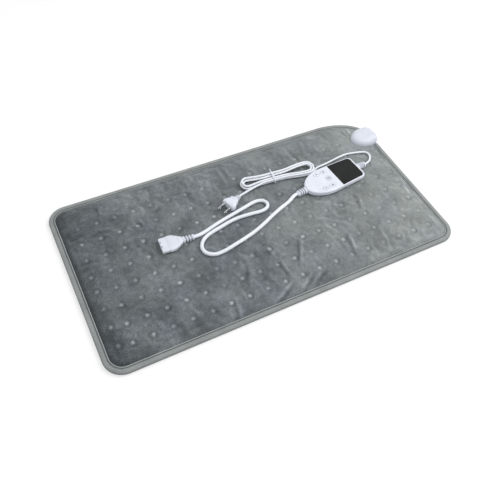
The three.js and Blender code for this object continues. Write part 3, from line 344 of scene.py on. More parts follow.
# Cloth that wrinkles the plush
SHEET_STEP = 0.004
SHEET_EDGE = 0.0125
SHEET_SOCKET_GAP = 0.003
SHEET_HOLD = 0.3
SHEET_GROWTH = 0.02
SHEET_START = 0.0002
SHEET_NOISE = (40, 2)
SHEET_FRAMES = 20
# Painted shading on the wrinkles' slopes: darker where they face away from the light at the right, lighter
# where they face it
SLOPE_SHADE_REACH = 0.002
SLOPE_SHADE = 130
SLOPE_SHADE_MOST = 0.3
WRINKLE_UP = 0.0006
WRINKLE_DOWN = 0.0012

# Underside
BACKING_STEP = 0.006
BACKING_RIM = 0.0103
BACKING_TOP = 0.0013
BACKING_RISE = 0.0003
BACKING_SLOPE = 0.05

# Floor and light
FLOOR_HALF = 4
FLOOR_LEVEL = -0.0003
WHITE_SHARE = 0.5
SKY_STRENGTH = 0.78
LAMPS = [("key", (1.05, -0.15, 1.3), 1.0, 15), ("fill", (-0.9, -0.4, 1.4), 1.4, 2)]


# Places of the pieces on the pad
def placed(x, y, z, turn):
    return Matrix.Translation((x, y, z)) @ Matrix.Rotation(math.radians(turn), 4, "Z")


SOCKET_FRAME = placed(0.268, 0.0935, 0, 8)
CONNECTOR_FRAME = placed(-0.1, 0.0076, REST_HEIGHT + CONNECTOR_HALF_HEIGHT, 176.5)
CONTROL_FRAME = placed(0.1572, 0.0256, REST_HEIGHT, 5.4)
PLUG_FRAME = placed(-0.0279, 0.0405, REST_HEIGHT + PLUG_HALF_HEIGHT, 202.5)
HANK_FRAME = placed(0.077, 0.0686, 0, -4.6)


# Objects and their settings
def assign(thing, **settings):
    for name, value in settings.items():
        setattr(thing, name, value)


def stand(name, data):
    thing = bpy.data.objects.new(name, data)
    scene.collection.objects.link(thing)
    return thing


# Camera
def add_camera():
    """Looks at its target from its distance, turned by its azimuth, elevation and roll."""
    turn = Matrix.Rotation(CAMERA_AZIMUTH, 4, "Z") @ Matrix.Rotation(math.pi / 2 - CAMERA_ELEVATION, 4, "X")
    back = Matrix.Rotation(CAMERA_ROLL, 4, "Z") @ Matrix.Translation((0, 0, CAMERA_DISTANCE))
    data = bpy.data.cameras.new("camera")
    assign(data, sensor_width=36, sensor_fit="HORIZONTAL", lens=CAMERA_LENS, clip_start=0.01)
    scene.camera = stand("camera", data)
    scene.camera.matrix_world = Matrix.Translation(CAMERA_TARGET) @ turn @ back


add_camera()


# Materials
class Look:
    """A material with the few kinds of shading node that the finishes need."""

    def __init__(self, name, roughness, metallic=0.0):
        self.material = bpy.data.materials.new(name)
        self.material.use_nodes = True
        self.tree = self.material.node_tree
        self.main = self.tree.nodes["Principled BSDF"]
        self.feed(self.main, {"Roughness": roughness, "Metallic": metallic})
        self.place = self.add("TexCoord", "Object")

    def feed(self, node, inputs):
        """Links or sets inputs, by their names or numbers."""
        for socket, value in inputs.items():
            if isinstance(value, bpy.types.NodeSocket):
                self.tree.links.new(value, node.inputs[socket])
            else:
                node.inputs[socket].default_value = value

    def add(self, kind, output, inputs=None, **settings):
        """The named output of a new node."""
        node = self.tree.nodes.new("ShaderNode" + kind)
        assign(node, **settings)
        self.feed(node, inputs or {})
        return node.outputs[output]

    def noise(self, scale, detail=4.0, rough=0.6):
        return self.add("TexNoise", "Fac", {
            "Vector": self.place, "Scale": scale, "Detail": detail, "Roughness": rough})

    def wave(self, direction, scale, distortion):
        return self.add("TexWave", "Fac", {
            "Vector": self.place, "Scale": scale, "Distortion": distortion}, bands_direction=direction)

    def ramp(self, value, stops):
        colour = self.add("ValToRGB", "Color", {"Fac": value})
        band = colour.node.color_ramp
        while len(band.elements) < len(stops):
            band.elements.new(0.5)
        for element, (spot, tone) in zip(band.elements, stops):
            element.position = spot
            element.color = (*tone, 1)
        return colour

    def shifts(self, dark, light, scale, detail):
        """Slow shifts of colour between two tones."""
        return self.ramp(self.noise(scale, detail), [(0.3, dark), (0.7, light)])

    def bump(self, height, strength, distance, **below):
        return self.add("Bump", "Normal", {
            "Height": height, "Strength": strength, "Distance": distance, **below})

    def span(self, value, low, high, start=0.0, end=1.0):
        return self.add("MapRange", "Result", {
            "Value": value, "From Min": start, "From Max": end, "To Min": low, "To Max": high})

    def mix(self, first, second, share=1.0, blend="MULTIPLY"):
        return self.add("Mix", "Result", {"Factor": share, "A": first, "B": second},
                        data_type="RGBA", blend_type=blend)

    def painted_shading(self, colour):
        """Darker or lighter by the painted shading stored on the mesh: 0 deepest shade, 0.5 plain, 1
        lightest.
        """
        stored = self.add("Attribute", "Fac", attribute_name="painted_shading")
        return self.mix(colour, self.ramp(stored, PAINTED_SHADING_TONES))


def grey(tone):
    return (tone, tone, tone)


# Tones of the painted shading: deepest painted shade, plain, brightest painted highlight
PAINTED_SHADING_TONES = [(0.0, (0.42, 0.42, 0.44)), (0.5, grey(1.0)), (1.0, (2.4, 2.4, 2.38))]
# Plush colour along the pad: darker to the left, partly its own tone and partly painted shade of light
# falling off, with a band of painted shade at the left edge
PLUSH_TONE_AND_SHADE = [
    (0.02, (0.06, 0.069, 0.075)), (0.06, (0.102, 0.115, 0.124)), (0.14, (0.128, 0.141, 0.151)),
    (0.5, (0.151, 0.164, 0.174)), (0.75, (0.185, 0.2, 0.205)), (0.97, (0.247, 0.264, 0.262)),
]
CLOUD_TONES = [(0.34, (0.64, 0.65, 0.66)), (0.66, (1.33, 1.33, 1.31))]
FLECK_TONES = [(0.34, (0.76, 0.76, 0.77)), (0.66, (1.25, 1.25, 1.24))]
FIBRE_TONES = [(0.36, (0.76, 0.76, 0.77)), (0.64, (1.24, 1.24, 1.23))]
TINT_TONES = [(0.35, (0.975, 0.99, 1.02)), (0.65, (1.02, 1.015, 0.985))]
YARN_TONES = [(0.2, grey(0.86)), (0.8, grey(1.08))]
TWILL_TONES = [(0.2, grey(0.96)), (0.8, grey(1.03))]
FLOOR_TONES = (grey(0.95), grey(0.97))
WHITE_TONES = ((0.63, 0.655, 0.735), (0.7, 0.725, 0.8))

# Patterns are scale, detail and roughness, bumps are strength and distance
MOULD_SHIFTS = (45, 3)
CLOTH_SHIFTS = (40, 4)
FLOOR_SHIFTS = (3, 2)
CLOUDS = (26, 3, 0.55)
FLECKS = (150, 5, 0.75)
FIBRES = (520, 3, 0.7)
PILE = (1100, 3, 0.7)
TINTS = (17, 2)
PATTERN_FADE = (0.95, 0.45)
PILE_BUMP = (0.7, 0.0005)
FLECK_BUMP = (0.5, 0.0012)
WEAVE_BUMP = (0.4, 0.0003)
GRAIN_STRENGTH = 0.35
GRAIN_DETAIL = 3
YARN_WANDER, TWILL_WANDER = 1.5, 2
TWILL_COARSER = 4


def moulded(name, dark, light, roughness, spread=0.06, grain=700, metallic=0.0, depth=0.00004, shine=0.5,
            shaded=False):
    """A moulded or cast surface: slow shifts of colour and gloss over a fine grain, with the painted shading
    stored on the mesh where shaded is set.
    """
    look = Look(name, roughness, metallic)
    colour = look.shifts(dark, light, *MOULD_SHIFTS)
    fine = look.noise(grain, GRAIN_DETAIL)
    look.feed(look.main, {
        "Base Color": look.painted_shading(colour) if shaded else colour,
        "Roughness": look.span(fine, roughness - spread, roughness + spread),
        "Normal": look.bump(fine, GRAIN_STRENGTH, depth),
        "Specular IOR Level": shine})
    return look.material


def plush_look():
    """Short pile: darker at the left, partly its own tone and partly painted shade, with clouds, flecks and
    fibres that fade towards the right.
    """
    look = Look("plush", roughness=0.95)
    place_x = look.add("SeparateXYZ", "X", {"Vector": look.place})
    along_pad = look.span(place_x, 0.0, 1.0, -PAD_LENGTH / 2, PAD_LENGTH / 2)
    fade = look.span(along_pad, *PATTERN_FADE)
    fleck = look.noise(*FLECKS)
    colour = look.ramp(along_pad, PLUSH_TONE_AND_SHADE)
    for pattern, tones in ((look.noise(*CLOUDS), CLOUD_TONES), (fleck, FLECK_TONES),
                           (look.noise(*FIBRES), FIBRE_TONES)):
        colour = look.mix(colour, look.ramp(pattern, tones), fade)
    colour = look.mix(look.painted_shading(colour), look.ramp(look.noise(*TINTS), TINT_TONES))
    pile = look.bump(look.noise(*PILE), *PILE_BUMP)
    look.feed(look.main, {
        "Base Color": colour, "Normal": look.bump(fleck, *FLECK_BUMP, Normal=pile), "Sheen Weight": 0.25,
        "Sheen Roughness": 0.5, "Specular IOR Level": 0.15})
    return look.material


def woven_look(name, dark, light, rib, shaded=False):
    """Woven tape or cloth: fine crossing ribs over slow changes of colour, with the painted shading stored on
    the mesh where shaded is set.
    """
    look = Look(name, roughness=0.85)
    base = look.shifts(dark, light, *CLOTH_SHIFTS)
    ribs = [look.wave(direction, rib, YARN_WANDER) for direction in "XY"]
    weave = look.mix(*ribs, share=0.5, blend="MIX")
    twill = look.wave("DIAGONAL", rib / TWILL_COARSER, TWILL_WANDER)
    colour = look.mix(base, look.ramp(weave, YARN_TONES))
    colour = look.mix(colour, look.ramp(twill, TWILL_TONES))
    look.feed(look.main, {
        "Base Color": look.painted_shading(colour) if shaded else colour, "Normal": look.bump(weave, *WEAVE_BUMP),
        "Sheen Weight": 0.15, "Specular IOR Level": 0.2})
    return look.material


# Finishes: darkest and lightest tone, then roughness, its spread and the grain, or the ribs of a cloth
PLUSH = plush_look()
TAPE = woven_look("binding_tape", (0.205, 0.219, 0.22), (0.268, 0.282, 0.28), 420, shaded=True)
BACKING = woven_look("backing_cloth", (0.16, 0.17, 0.172), (0.22, 0.235, 0.232), 300)
THREAD = moulded("thread", (0.13, 0.14, 0.14), (0.2, 0.21, 0.21), 0.8, 0.1, 2500)
WHITE = moulded("white_plastic", *WHITE_TONES, 0.45)
SOCKET = moulded("socket_plastic", (0.555, 0.58, 0.655), (0.615, 0.64, 0.715), 0.45)
RIBS = moulded("ribbed_plastic", *WHITE_TONES, 0.5, shaded=True)
CORD = moulded("cord_jacket", (0.71, 0.735, 0.79), (0.79, 0.81, 0.86), 0.42, 0.06, 900)
GLOSS = moulded("black_window", (0.012, 0.013, 0.013), (0.02, 0.021, 0.021), 0.1, 0.03, 200,
                depth=0.000002, shine=0.15)
MARK = moulded("key_mark", (0.1, 0.1, 0.12), (0.18, 0.18, 0.2), 0.5)
STEEL = moulded("steel", (0.6, 0.61, 0.63), (0.75, 0.76, 0.78), 0.28, 0.08, 1500, 1.0)
BRASS = moulded("brass", (0.5, 0.36, 0.14), (0.68, 0.5, 0.22), 0.35, 0.08, 1200, 1.0)
DARK = moulded("dark_plastic", (0.02, 0.02, 0.022), (0.04, 0.04, 0.043), 0.5)
FELT = woven_look("felt", (0.55, 0.53, 0.48), (0.68, 0.66, 0.6), 200)
BOARD = moulded("board", (0.02, 0.12, 0.05), (0.04, 0.18, 0.08), 0.5)
WIRE = moulded("heating_wire", (0.4, 0.08, 0.05), (0.5, 0.12, 0.08), 0.6)


# Meshes
def make(name, points, faces, at=Matrix()):
    data = bpy.data.meshes.new(name)
    data.from_pydata([at @ Vector(p) for p in points], [], faces)
    shape = bmesh.new()
    shape.from_mesh(data)
    bmesh.ops.recalc_face_normals(shape, faces=shape.faces)
    shape.to_mesh(data)
    shape.free()
    return stand(name, data)


def ring_faces(levels, count, closed=False, first=0):
    """Quads between rings of equal length; the ends are capped, or joined where closed is set."""
    faces = []
    for level in range(levels if closed else levels - 1):
        low, high = first + level * count, first + (level + 1) % levels * count
        for i in range(count):
            j = (i + 1) % count
            faces.append((low + i, low + j, high + j, high + i))
    if not closed:
        last = first + (levels - 1) * count
        faces += [tuple(range(first, first + count)), tuple(range(last, last + count))]
    return faces


def loft(name, rings, at=Matrix(), closed=False):
    points = [point for ring in rings for point in ring]
    return make(name, points, ring_faces(len(rings), len(rings[0]), closed), at)


def prism(name, plan, low, high, at):
    """A plan of X and Y between two heights."""
    return loft(name, [[(x, y, z) for x, y in plan] for z in (low, high)], at)


def slab(name, plan, near, far, at):
    """A plan of X and Z between two places along Y."""
    return loft(name, [[(x, y, z) for x, z in plan] for y in (near, far)], at)


def stacked(name, outline, profile, at=Matrix()):
    """A loft of outline(inset) over a profile of inset and height."""
    return loft(name, [[(x, y, z) for x, y in outline(inset)] for inset, z in profile], at)


def along(name, stations, power, at, z=0.0):
    """A loft along X through stations of place, half width and half height."""
    rings = [[(x, y, z + h) for y, h in oval(wide, high, power)] for x, wide, high in stations]
    return loft(name, rings, at)


# Stores painted shading on each point, 0.5 being plain
def store_painted_shading(piece, values):
    piece.data.attributes.new("painted_shading", "FLOAT", "POINT").data.foreach_set("value", values)


def dress(piece, look, stands_for=(), body="control_set", sharp=38):
    piece.data.materials.clear()
    piece.data.materials.append(look)
    if piece.type == "MESH":
        piece.data.shade_smooth()
        piece.data.set_sharp_from_angle(angle=math.radians(sharp))
    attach(piece, body)
    if stands_for:
        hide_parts(*stands_for)
    return piece


def settle(piece):
    """Applies a piece's modifiers to its mesh."""
    graph = bpy.context.evaluated_depsgraph_get()
    data = bpy.data.meshes.new_from_object(piece.evaluated_get(graph))
    piece.modifiers.clear()
    piece.data = data


def cut(piece, cutters):
    for cutter in cutters:
        modifier = piece.modifiers.new("cut", "BOOLEAN")
        assign(modifier, operation="DIFFERENCE", solver="EXACT", object=cutter)
    settle(piece)
    for cutter in cutters:
        bpy.data.objects.remove(cutter)


def join_close(piece, reach=0.000002):
    """Points that fall on each other become one."""
    shape = bmesh.new()
    shape.from_mesh(piece.data)
    bmesh.ops.remove_doubles(shape, verts=shape.verts, dist=reach)
    bmesh.ops.dissolve_degenerate(shape, edges=shape.edges, dist=reach)
    shape.to_mesh(piece.data)
    shape.free()


def modify(piece, kind, **settings):
    assign(piece.modifiers.new(kind, kind), **settings)
    settle(piece)


def even_out(piece):
    """Keeps broad faces flat to the eye beside narrow rounded edges."""
    modify(piece, "WEIGHTED_NORMAL", keep_sharp=True)


def soften(piece):
    modify(piece, "BEVEL", width=EDGE_BEVEL, segments=2, limit_method="ANGLE",
           angle_limit=math.radians(40), harden_normals=False)


# Outlines
def clamp(value, low=0.0, high=1.0):
    return min(max(value, low), high)


def arc(centre_x, centre_y, radius_x, radius_y, start, end, steps):
    points = []
    for i in range(steps + 1):
        angle = math.radians(start + (end - start) * i / steps)
        points.append((centre_x + radius_x * math.cos(angle), centre_y + radius_y * math.sin(angle)))
    return points


def circle(x, y, radius, sides=24):
    return arc(x, y, radius, radius, 0, 360, sides)[:-1]


def bullet(plan, inset=0.0, steps=16):
    """A plan that is round at its back end and square with rounded corners at its front end."""
    right = plan.front - inset
    end_half = plan.front_half - inset
    bend = plan.corner - inset
    points = arc(right - bend, -end_half + bend, bend, bend, -90, 0, steps)
    points += arc(right - bend, end_half - bend, bend, bend, 0, 90, steps)
    points += arc(plan.bulge, 0, plan.bulge + plan.back - inset, plan.half - inset, 90, 270, 3 * steps)
    return points


def pill(x, y, length, width, grow=0.0, steps=12):
    half = width / 2 + grow
    reach = (length - width) / 2
    return arc(x + reach, y, half, half, -90, 90, steps) + arc(x - reach, y, half, half, 90, 270, steps)


def oval(half_width, half_height, power, count=OVAL_POINTS):
    """An oval that gets squarer with its power."""
    points = []
    for i in range(count):
        angle = 2 * math.pi * (i + 0.5) / count
        c, s = math.cos(angle), math.sin(angle)
        y = half_width * math.copysign(abs(c) ** (2 / power), c)
        z = half_height * math.copysign(abs(s) ** (2 / power), s)
        points.append((y, z))
    return points


def edge_profile(low, high, round_low, round_high, steps=6):
    """Pairs of inset and height for a wall whose lower and upper edges are rounded."""
    angles = [math.pi / 2 * i / steps for i in range(steps + 1)]
    foot = [(round_low * (1 - math.sin(a)), low + round_low * (1 - math.cos(a))) for a in angles]
    head = [(round_high * (1 - math.cos(a)), high - round_high * (1 - math.sin(a))) for a in angles]
    return foot + head


# Cords
def smooth_route(points, step):
    """Points close together on one smooth curve through the given ones."""
    points = [Vector(p) for p in points]
    chain = [2 * points[0] - points[1], *points, 2 * points[-1] - points[-2]]
    route = []
    for i in range(1, len(chain) - 2):
        p0, p1, p2, p3 = chain[i - 1:i + 3]
        t1 = (p1 - p0).length ** 0.5
        t2 = t1 + (p2 - p1).length ** 0.5
        t3 = t2 + (p3 - p2).length ** 0.5
        count = max(1, round((p2 - p1).length / step))
        for k in range(count):
            t = t1 + (t2 - t1) * k / count
            first = p0.lerp(p1, t / t1)
            middle = p1.lerp(p2, (t - t1) / (t2 - t1))
            last = p2.lerp(p3, (t - t2) / (t3 - t2))
            left = first.lerp(middle, t / t2)
            right = middle.lerp(last, (t - t1) / (t3 - t1))
            route.append(left.lerp(right, (t - t1) / (t2 - t1)))
    route.append(points[-1])
    return route


def cord_piece(name, route, diameter):
    data = bpy.data.curves.new(name, "CURVE")
    assign(data, dimensions="3D", bevel_depth=diameter / 2, bevel_resolution=5, use_fill_caps=True)
    line = data.splines.new("POLY")
    line.points.add(len(route) - 1)
    for point, place in zip(line.points, route):
        point.co = (*place, 1)
    return stand(name, data)


def lifted(points, diameter):
    rest = Vector((0, 0, REST_HEIGHT + diameter / 2))
    return [Vector(point) * MM + rest for point in points]


def held_end(at, x, direction, z, diameter):
    """Two points of a cord that leaves a boot or relief straight along its axis."""
    return [at @ Vector((x + direction * reach, 0, z)) for reach in (-CORD_HELD, diameter)]


def loop_plan(angle, reach, radius):
    """Plan of one loop of the hank: two straight runs joined by half circles."""
    half = angle % (2 * math.pi)
    side = 1 if half < math.pi else -1
    within = half % math.pi
    leaving = min(within / HANK_TIP_SHARE, 1) * math.pi / 2
    arriving = min((math.pi - within) / HANK_TIP_SHARE, 1) * math.pi / 2
    share = clamp((within - HANK_TIP_SHARE) / (math.pi - 2 * HANK_TIP_SHARE))
    x = (reach - radius) * (1 - 2 * share) + radius * (math.cos(leaving) - math.cos(arriving))
    y = -radius * min(math.sin(leaving), math.sin(arriving))
    return side * x, side * y


def hank_point(angle, first, last):
    middle = (first + last) / 2
    inward = (middle - first - abs(angle - middle)) / (2 * math.pi) * HANK_PITCH
    x, y = loop_plan(angle, HANK_HALF_LENGTH - inward, HANK_HALF_WIDTH - inward)
    drawn = HANK_WAIST * math.exp(-(abs(x - HANK_WAIST_PLACE) / HANK_WAIST_REACH) ** HANK_WAIST_POWER)
    y = math.copysign(max(abs(y) - drawn, 0), y)
    rise = clamp((angle - middle) / math.pi + 0.5)
    climb = rise * rise * (3 - 2 * rise)
    return HANK_FRAME @ Vector((x, y, HANK_LOW + climb * HANK_LAYER))


def hank_points():
    last = 2 * math.pi * HANK_LOOPS + HANK_END
    steps = round((last - HANK_START) / (2 * math.pi) * HANK_LOOP_STEPS)
    return [hank_point(HANK_START + (last - HANK_START) * i / steps, HANK_START, last)
            for i in range(steps + 1)]


pad_lead_route = smooth_route(
    held_end(CONNECTOR_FRAME, 0, -1, 0, PAD_LEAD_DIAMETER)
    + lifted(PAD_LEAD_POINTS, PAD_LEAD_DIAMETER)
    + held_end(CONTROL_FRAME, -CASE_RELIEF_TIP, -1, CASE_RELIEF_AXIS, PAD_LEAD_DIAMETER)[::-1], ROUTE_STEP)
pad_lead = cord_piece("pad_lead_cord", pad_lead_route, PAD_LEAD_DIAMETER)
dress(pad_lead, CORD, ["pad_lead"])

mains_route = smooth_route(
    held_end(CONTROL_FRAME, CASE_RELIEF_TIP, 1, CASE_RELIEF_AXIS, MAINS_DIAMETER)
    + lifted(MAINS_POINTS, MAINS_DIAMETER)
    + hank_points()
    + held_end(PLUG_FRAME, PLUG_BOOT_TIP, -1, 0, MAINS_DIAMETER)[::-1], ROUTE_STEP)
mains = cord_piece("mains_cord", mains_route, MAINS_DIAMETER)
dress(mains, CORD, ["mains_lead", "mains_hank", "plug_tail"])


# Strain reliefs: tapered and ribbed, from the tip towards the piece that holds them
def ribbed(name, start, direction, length, radii, at, z=0.0, power=BOOT_POWER, wide=1.0, floor=GROOVE_SHADE):
    """Grooves run round it; their floors are darkened with painted shade."""
    tip, base = radii
    half, deep, lip = length * GROOVE_SHARE, length * GROOVE_DEPTH, length * GROOVE_LIP
    stations = [(0, tip - lip, PLAIN_SHADING), (lip, tip, PLAIN_SHADING)]
    for i in range(1, GROOVES + 1):
        middle = length * i / (GROOVES + 1)
        radius = tip + (base - tip) * middle / length
        stations += [
            (middle - half - lip, radius, PLAIN_SHADING), (middle - half, radius - lip, GROOVE_EDGE_SHADE),
            (middle - half, radius - deep, floor), (middle + half, radius - deep, floor),
            (middle + half, radius - lip, GROOVE_EDGE_SHADE), (middle + half + lip, radius + lip, PLAIN_SHADING)]
    stations += [(length - lip, base, PLAIN_SHADING), (length, base - lip, PLAIN_SHADING),
                 (length + RELIEF_ROOT, base - RELIEF_ROOT, PLAIN_SHADING)]
    piece = along(name, [(start + direction * x, r * wide, r) for x, r, _ in stations], power, at, z)
    store_painted_shading(piece, [painted_shading for _, _, painted_shading in stations for _ in range(OVAL_POINTS)])
    return piece


# Controller
def control_outline(inset):
    return bullet(CONTROL_PLAN, inset)


def window_outline(inset):
    """Straight across the case on the keys' side, and parallel to the case on the others."""
    plan = PANE_PLAN
    edge = WINDOW_START + FIT + inset
    sides = [p for p in bullet(plan, WINDOW_RIM + FIT + inset) if p[0] > edge]
    slope = (plan.half - plan.front_half) / (plan.front - plan.corner - plan.bulge)
    end = plan.half - WINDOW_RIM - inset - slope * (edge - plan.bulge)
    return [(edge, -end), *sides, (edge, end)]


def hull_profile(steps=8):
    """Pairs of inset and height of the lower case, drawn in towards its underside."""
    pairs = []
    for i in range(steps):
        angle = math.pi / 2 * i / steps
        pairs.append((UNDER_DRAW * (1 - math.sin(angle)), CONTROL_SPLIT * (1 - math.cos(angle))))
    return pairs + [(0, CONTROL_SPLIT - CASE_SEAM), (CASE_SEAM, CONTROL_SPLIT)]


def build_lower_case():
    lower = stacked("lower_shell", control_outline, hull_profile(), CONTROL_FRAME)
    size = 2 * SCREW_HOLE_RADIUS
    cut(lower, [prism("screw_hole", pill(x, y, size, size), -CUT_PAST, SCREW_HOLE_DEPTH, CONTROL_FRAME)
                for x, y in SCREW_HOLES])
    even_out(dress(lower, WHITE, ["lower_case"]))


def build_upper_case():
    profile = edge_profile(CONTROL_SPLIT + FIT, CONTROL_HEIGHT, CASE_SEAM, CASE_ROUND)
    upper = stacked("upper_shell", control_outline, profile, CONTROL_FRAME)
    cutters = [prism("seat", window_outline(-FIT), CONTROL_HEIGHT - SEAT_DEPTH, CUT_TOP, CONTROL_FRAME)]
    for x, y, length, width in KEYS.values():
        hole = pill(x, y, length, width, FIT)
        cutters.append(prism("key_hole", hole, KEY_HOLE_FLOOR, CUT_TOP, CONTROL_FRAME))
    cut(upper, cutters)
    soften(upper)
    join_close(upper)
    even_out(dress(upper, WHITE, ["upper_case"]))


def build_window():
    low, high = CONTROL_HEIGHT - PANE_DEPTH, CONTROL_HEIGHT + PANE_PROUD
    profile = edge_profile(low, high, SMALL_ROUND, PANE_ROUND, steps=3)
    pane = stacked("window_pane", window_outline, profile, CONTROL_FRAME)
    even_out(dress(pane, GLOSS, ["display_window"]))


def build_keys():
    profile = edge_profile(KEY_FOOT, KEY_TOP, SMALL_ROUND, KEY_ROUND, steps=5)
    for name, (x, y, length, width) in KEYS.items():
        cap = stacked(name + "_cap", lambda inset: pill(x, y, length, width, -inset), profile, CONTROL_FRAME)
        join_close(cap)
        even_out(dress(cap, WHITE, [name], name))
        build_marks(name, x, y)


def build_marks(name, x, y):
    """Power, plus and minus signs that lie on the key caps."""
    level = pill(x, y, SIGN_LENGTH, SIGN_WIDTH)
    upright = [(x + (py - y), y + (px - x)) for px, py in level]
    if name == "power_key":
        ring = arc(x, y, RING_OUTSIDE, RING_OUTSIDE, RING_START, RING_END, RING_STEPS)
        ring += arc(x, y, RING_INSIDE, RING_INSIDE, RING_END, RING_START, RING_STEPS)
        signs = [ring, [(px, y + (RING_OUTSIDE + py - y) * RING_BAR_SHARE) for px, py in upright]]
    else:
        signs = [level, upright] if "up" in name else [level]
    for i, plan in enumerate(signs):
        low, high = KEY_TOP - SIGN_SINK + SIGN_LAYER * i, KEY_TOP + SIGN_PROUD + SIGN_LAYER * i
        mark = prism(f"{name}_mark_{i + 1}", plan, low, high, CONTROL_FRAME)
        dress(mark, MARK, body=name)


def build_case_relief(name, side, radii, stands_for):
    relief = ribbed(name, side * CASE_RELIEF_TIP, -side, CASE_RELIEF_LENGTH, radii, CONTROL_FRAME,
                    CASE_RELIEF_AXIS, CASE_RELIEF_POWER, CASE_RELIEF_WIDE)
    dress(relief, RIBS, [stands_for])


build_lower_case()
build_upper_case()
build_window()
build_keys()
build_case_relief("pad_relief", -1, PAD_RELIEF_RADII, "pad_lead_relief")
build_case_relief("mains_relief", 1, MAINS_RELIEF_RADII, "mains_lead_relief")


# Connector and plug
def flared(back, taper, neck, half, shift, low, swell, reach, steps=12):
    """Stations of a moulded body that flares from its neck and grows a little thicker."""
    stations = []
    for i in range(steps + 1):
        t = i / steps
        a, b, c = (1 - t) ** 2, 2 * t * (1 - t), t * t
        x = a * back + b * (back + FLARE_BULGE * taper) + c * (back + taper)
        stations.append((x + shift, a * neck + (b + c) * half, low + swell * min(1, (x - back) / reach)))
    return stations


def grip_plan(stations):
    """The recess for the fingers: the flare's own outline, drawn in."""
    side = [(x, half * GRIP_SHARE) for x, half, _ in stations if GRIP_START < x < GRIP_END]
    side.append((GRIP_END, SHELL_HALF * GRIP_SHARE))
    return side + [(x, -y) for x, y in reversed(side)]


def build_connector():
    boot = ribbed("connector_relief", 0, 1, CONNECTOR_BOOT_LENGTH, CONNECTOR_BOOT_RADII, CONNECTOR_FRAME,
                  wide=CONNECTOR_BOOT_WIDE)
    dress(boot, RIBS, ["connector_boot"])
    stations = SHELL_BACK + flared(**SHELL_FLARE) + SHELL_FRONT
    shell = along("connector_housing", stations, SHELL_POWER, CONNECTOR_FRAME)
    cut(shell, [prism("grip", grip_plan(stations), GRIP_FLOOR, CONNECTOR_CUT_TOP, CONNECTOR_FRAME)])
    join_close(shell)
    even_out(dress(shell, WHITE, ["connector_shell"]))
    nose = along("connector_front", NOSE, NOSE_POWER, CONNECTOR_FRAME)
    cut(nose, connector_bores() + connector_notches())
    dress(nose, WHITE, ["connector_nose"])
    return [boot, shell, nose]


def connector_bores():
    bore = circle(0, 0, BORE_RADIUS)
    return [loft("bore", [[(x, y + across, up) for across, up in bore] for x in (BORE_START, BORE_END)],
                 CONNECTOR_FRAME) for y in (-BORE_PITCH, 0, BORE_PITCH)]


def connector_notches():
    notches = []
    for y in (-NOTCH_PLACE, NOTCH_PLACE):
        low, high = y - NOTCH_HALF, y + NOTCH_HALF
        plan = [(NOTCH_START, low), (NOTCH_END, low), (NOTCH_END, high), (NOTCH_START, high)]
        notches.append(prism("notch", plan, NOTCH_FLOOR, CONNECTOR_CUT_TOP, CONNECTOR_FRAME))
    return notches


def build_plug():
    boot = ribbed("plug_relief", PLUG_BOOT_TIP, 1, PLUG_BOOT_LENGTH, PLUG_BOOT_RADII, PLUG_FRAME,
                  floor=PLUG_BOOT_GROOVE_SHADE)
    dress(boot, RIBS, ["plug_boot"])
    body = along("plug_housing", PLUG_COLLAR + flared(**PLUG_FLARE) + PLUG_FACE, PLUG_POWER, PLUG_FRAME)
    dress(body, WHITE, ["plug_body"])
    return [boot, body, build_blade("left", BLADE_PLACE), build_blade("right", -BLADE_PLACE)]


def build_blade(side, y):
    plan = [(x, -z) for x, z in BLADE_EDGE] + BLADE_EDGE[::-1]
    blade = slab("blade_" + side, plan, y - BLADE_HALF_THICK, y + BLADE_HALF_THICK, PLUG_FRAME)
    hole = pill(BLADE_HOLE_PLACE, 0, BLADE_HOLE, BLADE_HOLE)
    cut(blade, [slab("hole", hole, y - 2 * CUT_PAST, y + 2 * CUT_PAST, PLUG_FRAME)])
    soften(blade)
    return dress(blade, STEEL, ["plug_blade_" + side])


connector_pieces = build_connector()
plug_pieces = build_plug()


# Socket on the pad's corner
def build_socket():
    centre = (SOCKET_PLAN.front - SOCKET_PLAN.back) / 2
    outline = bullet(SOCKET_PLAN)
    rings = []
    for i in range(DOME_STEPS + 1):
        angle = math.pi / 2 * i / DOME_STEPS
        size = math.cos(angle) ** (2 / DOME_POWER) if i < DOME_STEPS else DOME_TIP
        z = DOME_BASE + (DOME_TOP - DOME_BASE) * math.sin(angle) ** (2 / DOME_POWER)
        rings.append([(centre + (x - centre) * size, y * size, z) for x, y in outline])
    dome = loft("socket_shell", rings, SOCKET_FRAME)
    mouth = [(x, MOUTH_HALF, MOUTH_HALF_HEIGHT) for x in (MOUTH_START, MOUTH_END)]
    cut(dome, [along("mouth", mouth, MOUTH_POWER, SOCKET_FRAME, MOUTH_AXIS)])
    dress(dome, SOCKET, ["socket_dome"], "pad", sharp=50)


def socket_hole(inset):
    return prism("hole", bullet(SOCKET_PLAN, inset), SOCKET_HOLE_LOW, SOCKET_HOLE_HIGH, SOCKET_FRAME)


def in_socket(point, grow=0.0):
    local = SOCKET_FRAME.inverted() @ Vector((point[0], point[1], 0))
    half = SOCKET_PLAN.half + grow
    if local.x < 0:
        return math.hypot(local.x / (SOCKET_PLAN.back + grow), local.y / half) < 1
    return local.x < SOCKET_PLAN.front + grow and abs(local.y) < half


build_socket()


# Outline of the pad
def pad_corner(x, y):
    """Centre and radii of the pad's corner on that side."""
    if x > 0 and y > 0:
        radii = (SOCKET_CORNER_LENGTH, SOCKET_CORNER_WIDTH)
    else:
        radii = (PAD_CORNER, PAD_CORNER)
    return PAD_LENGTH / 2 - radii[0], PAD_WIDTH / 2 - radii[1], radii[0], radii[1]


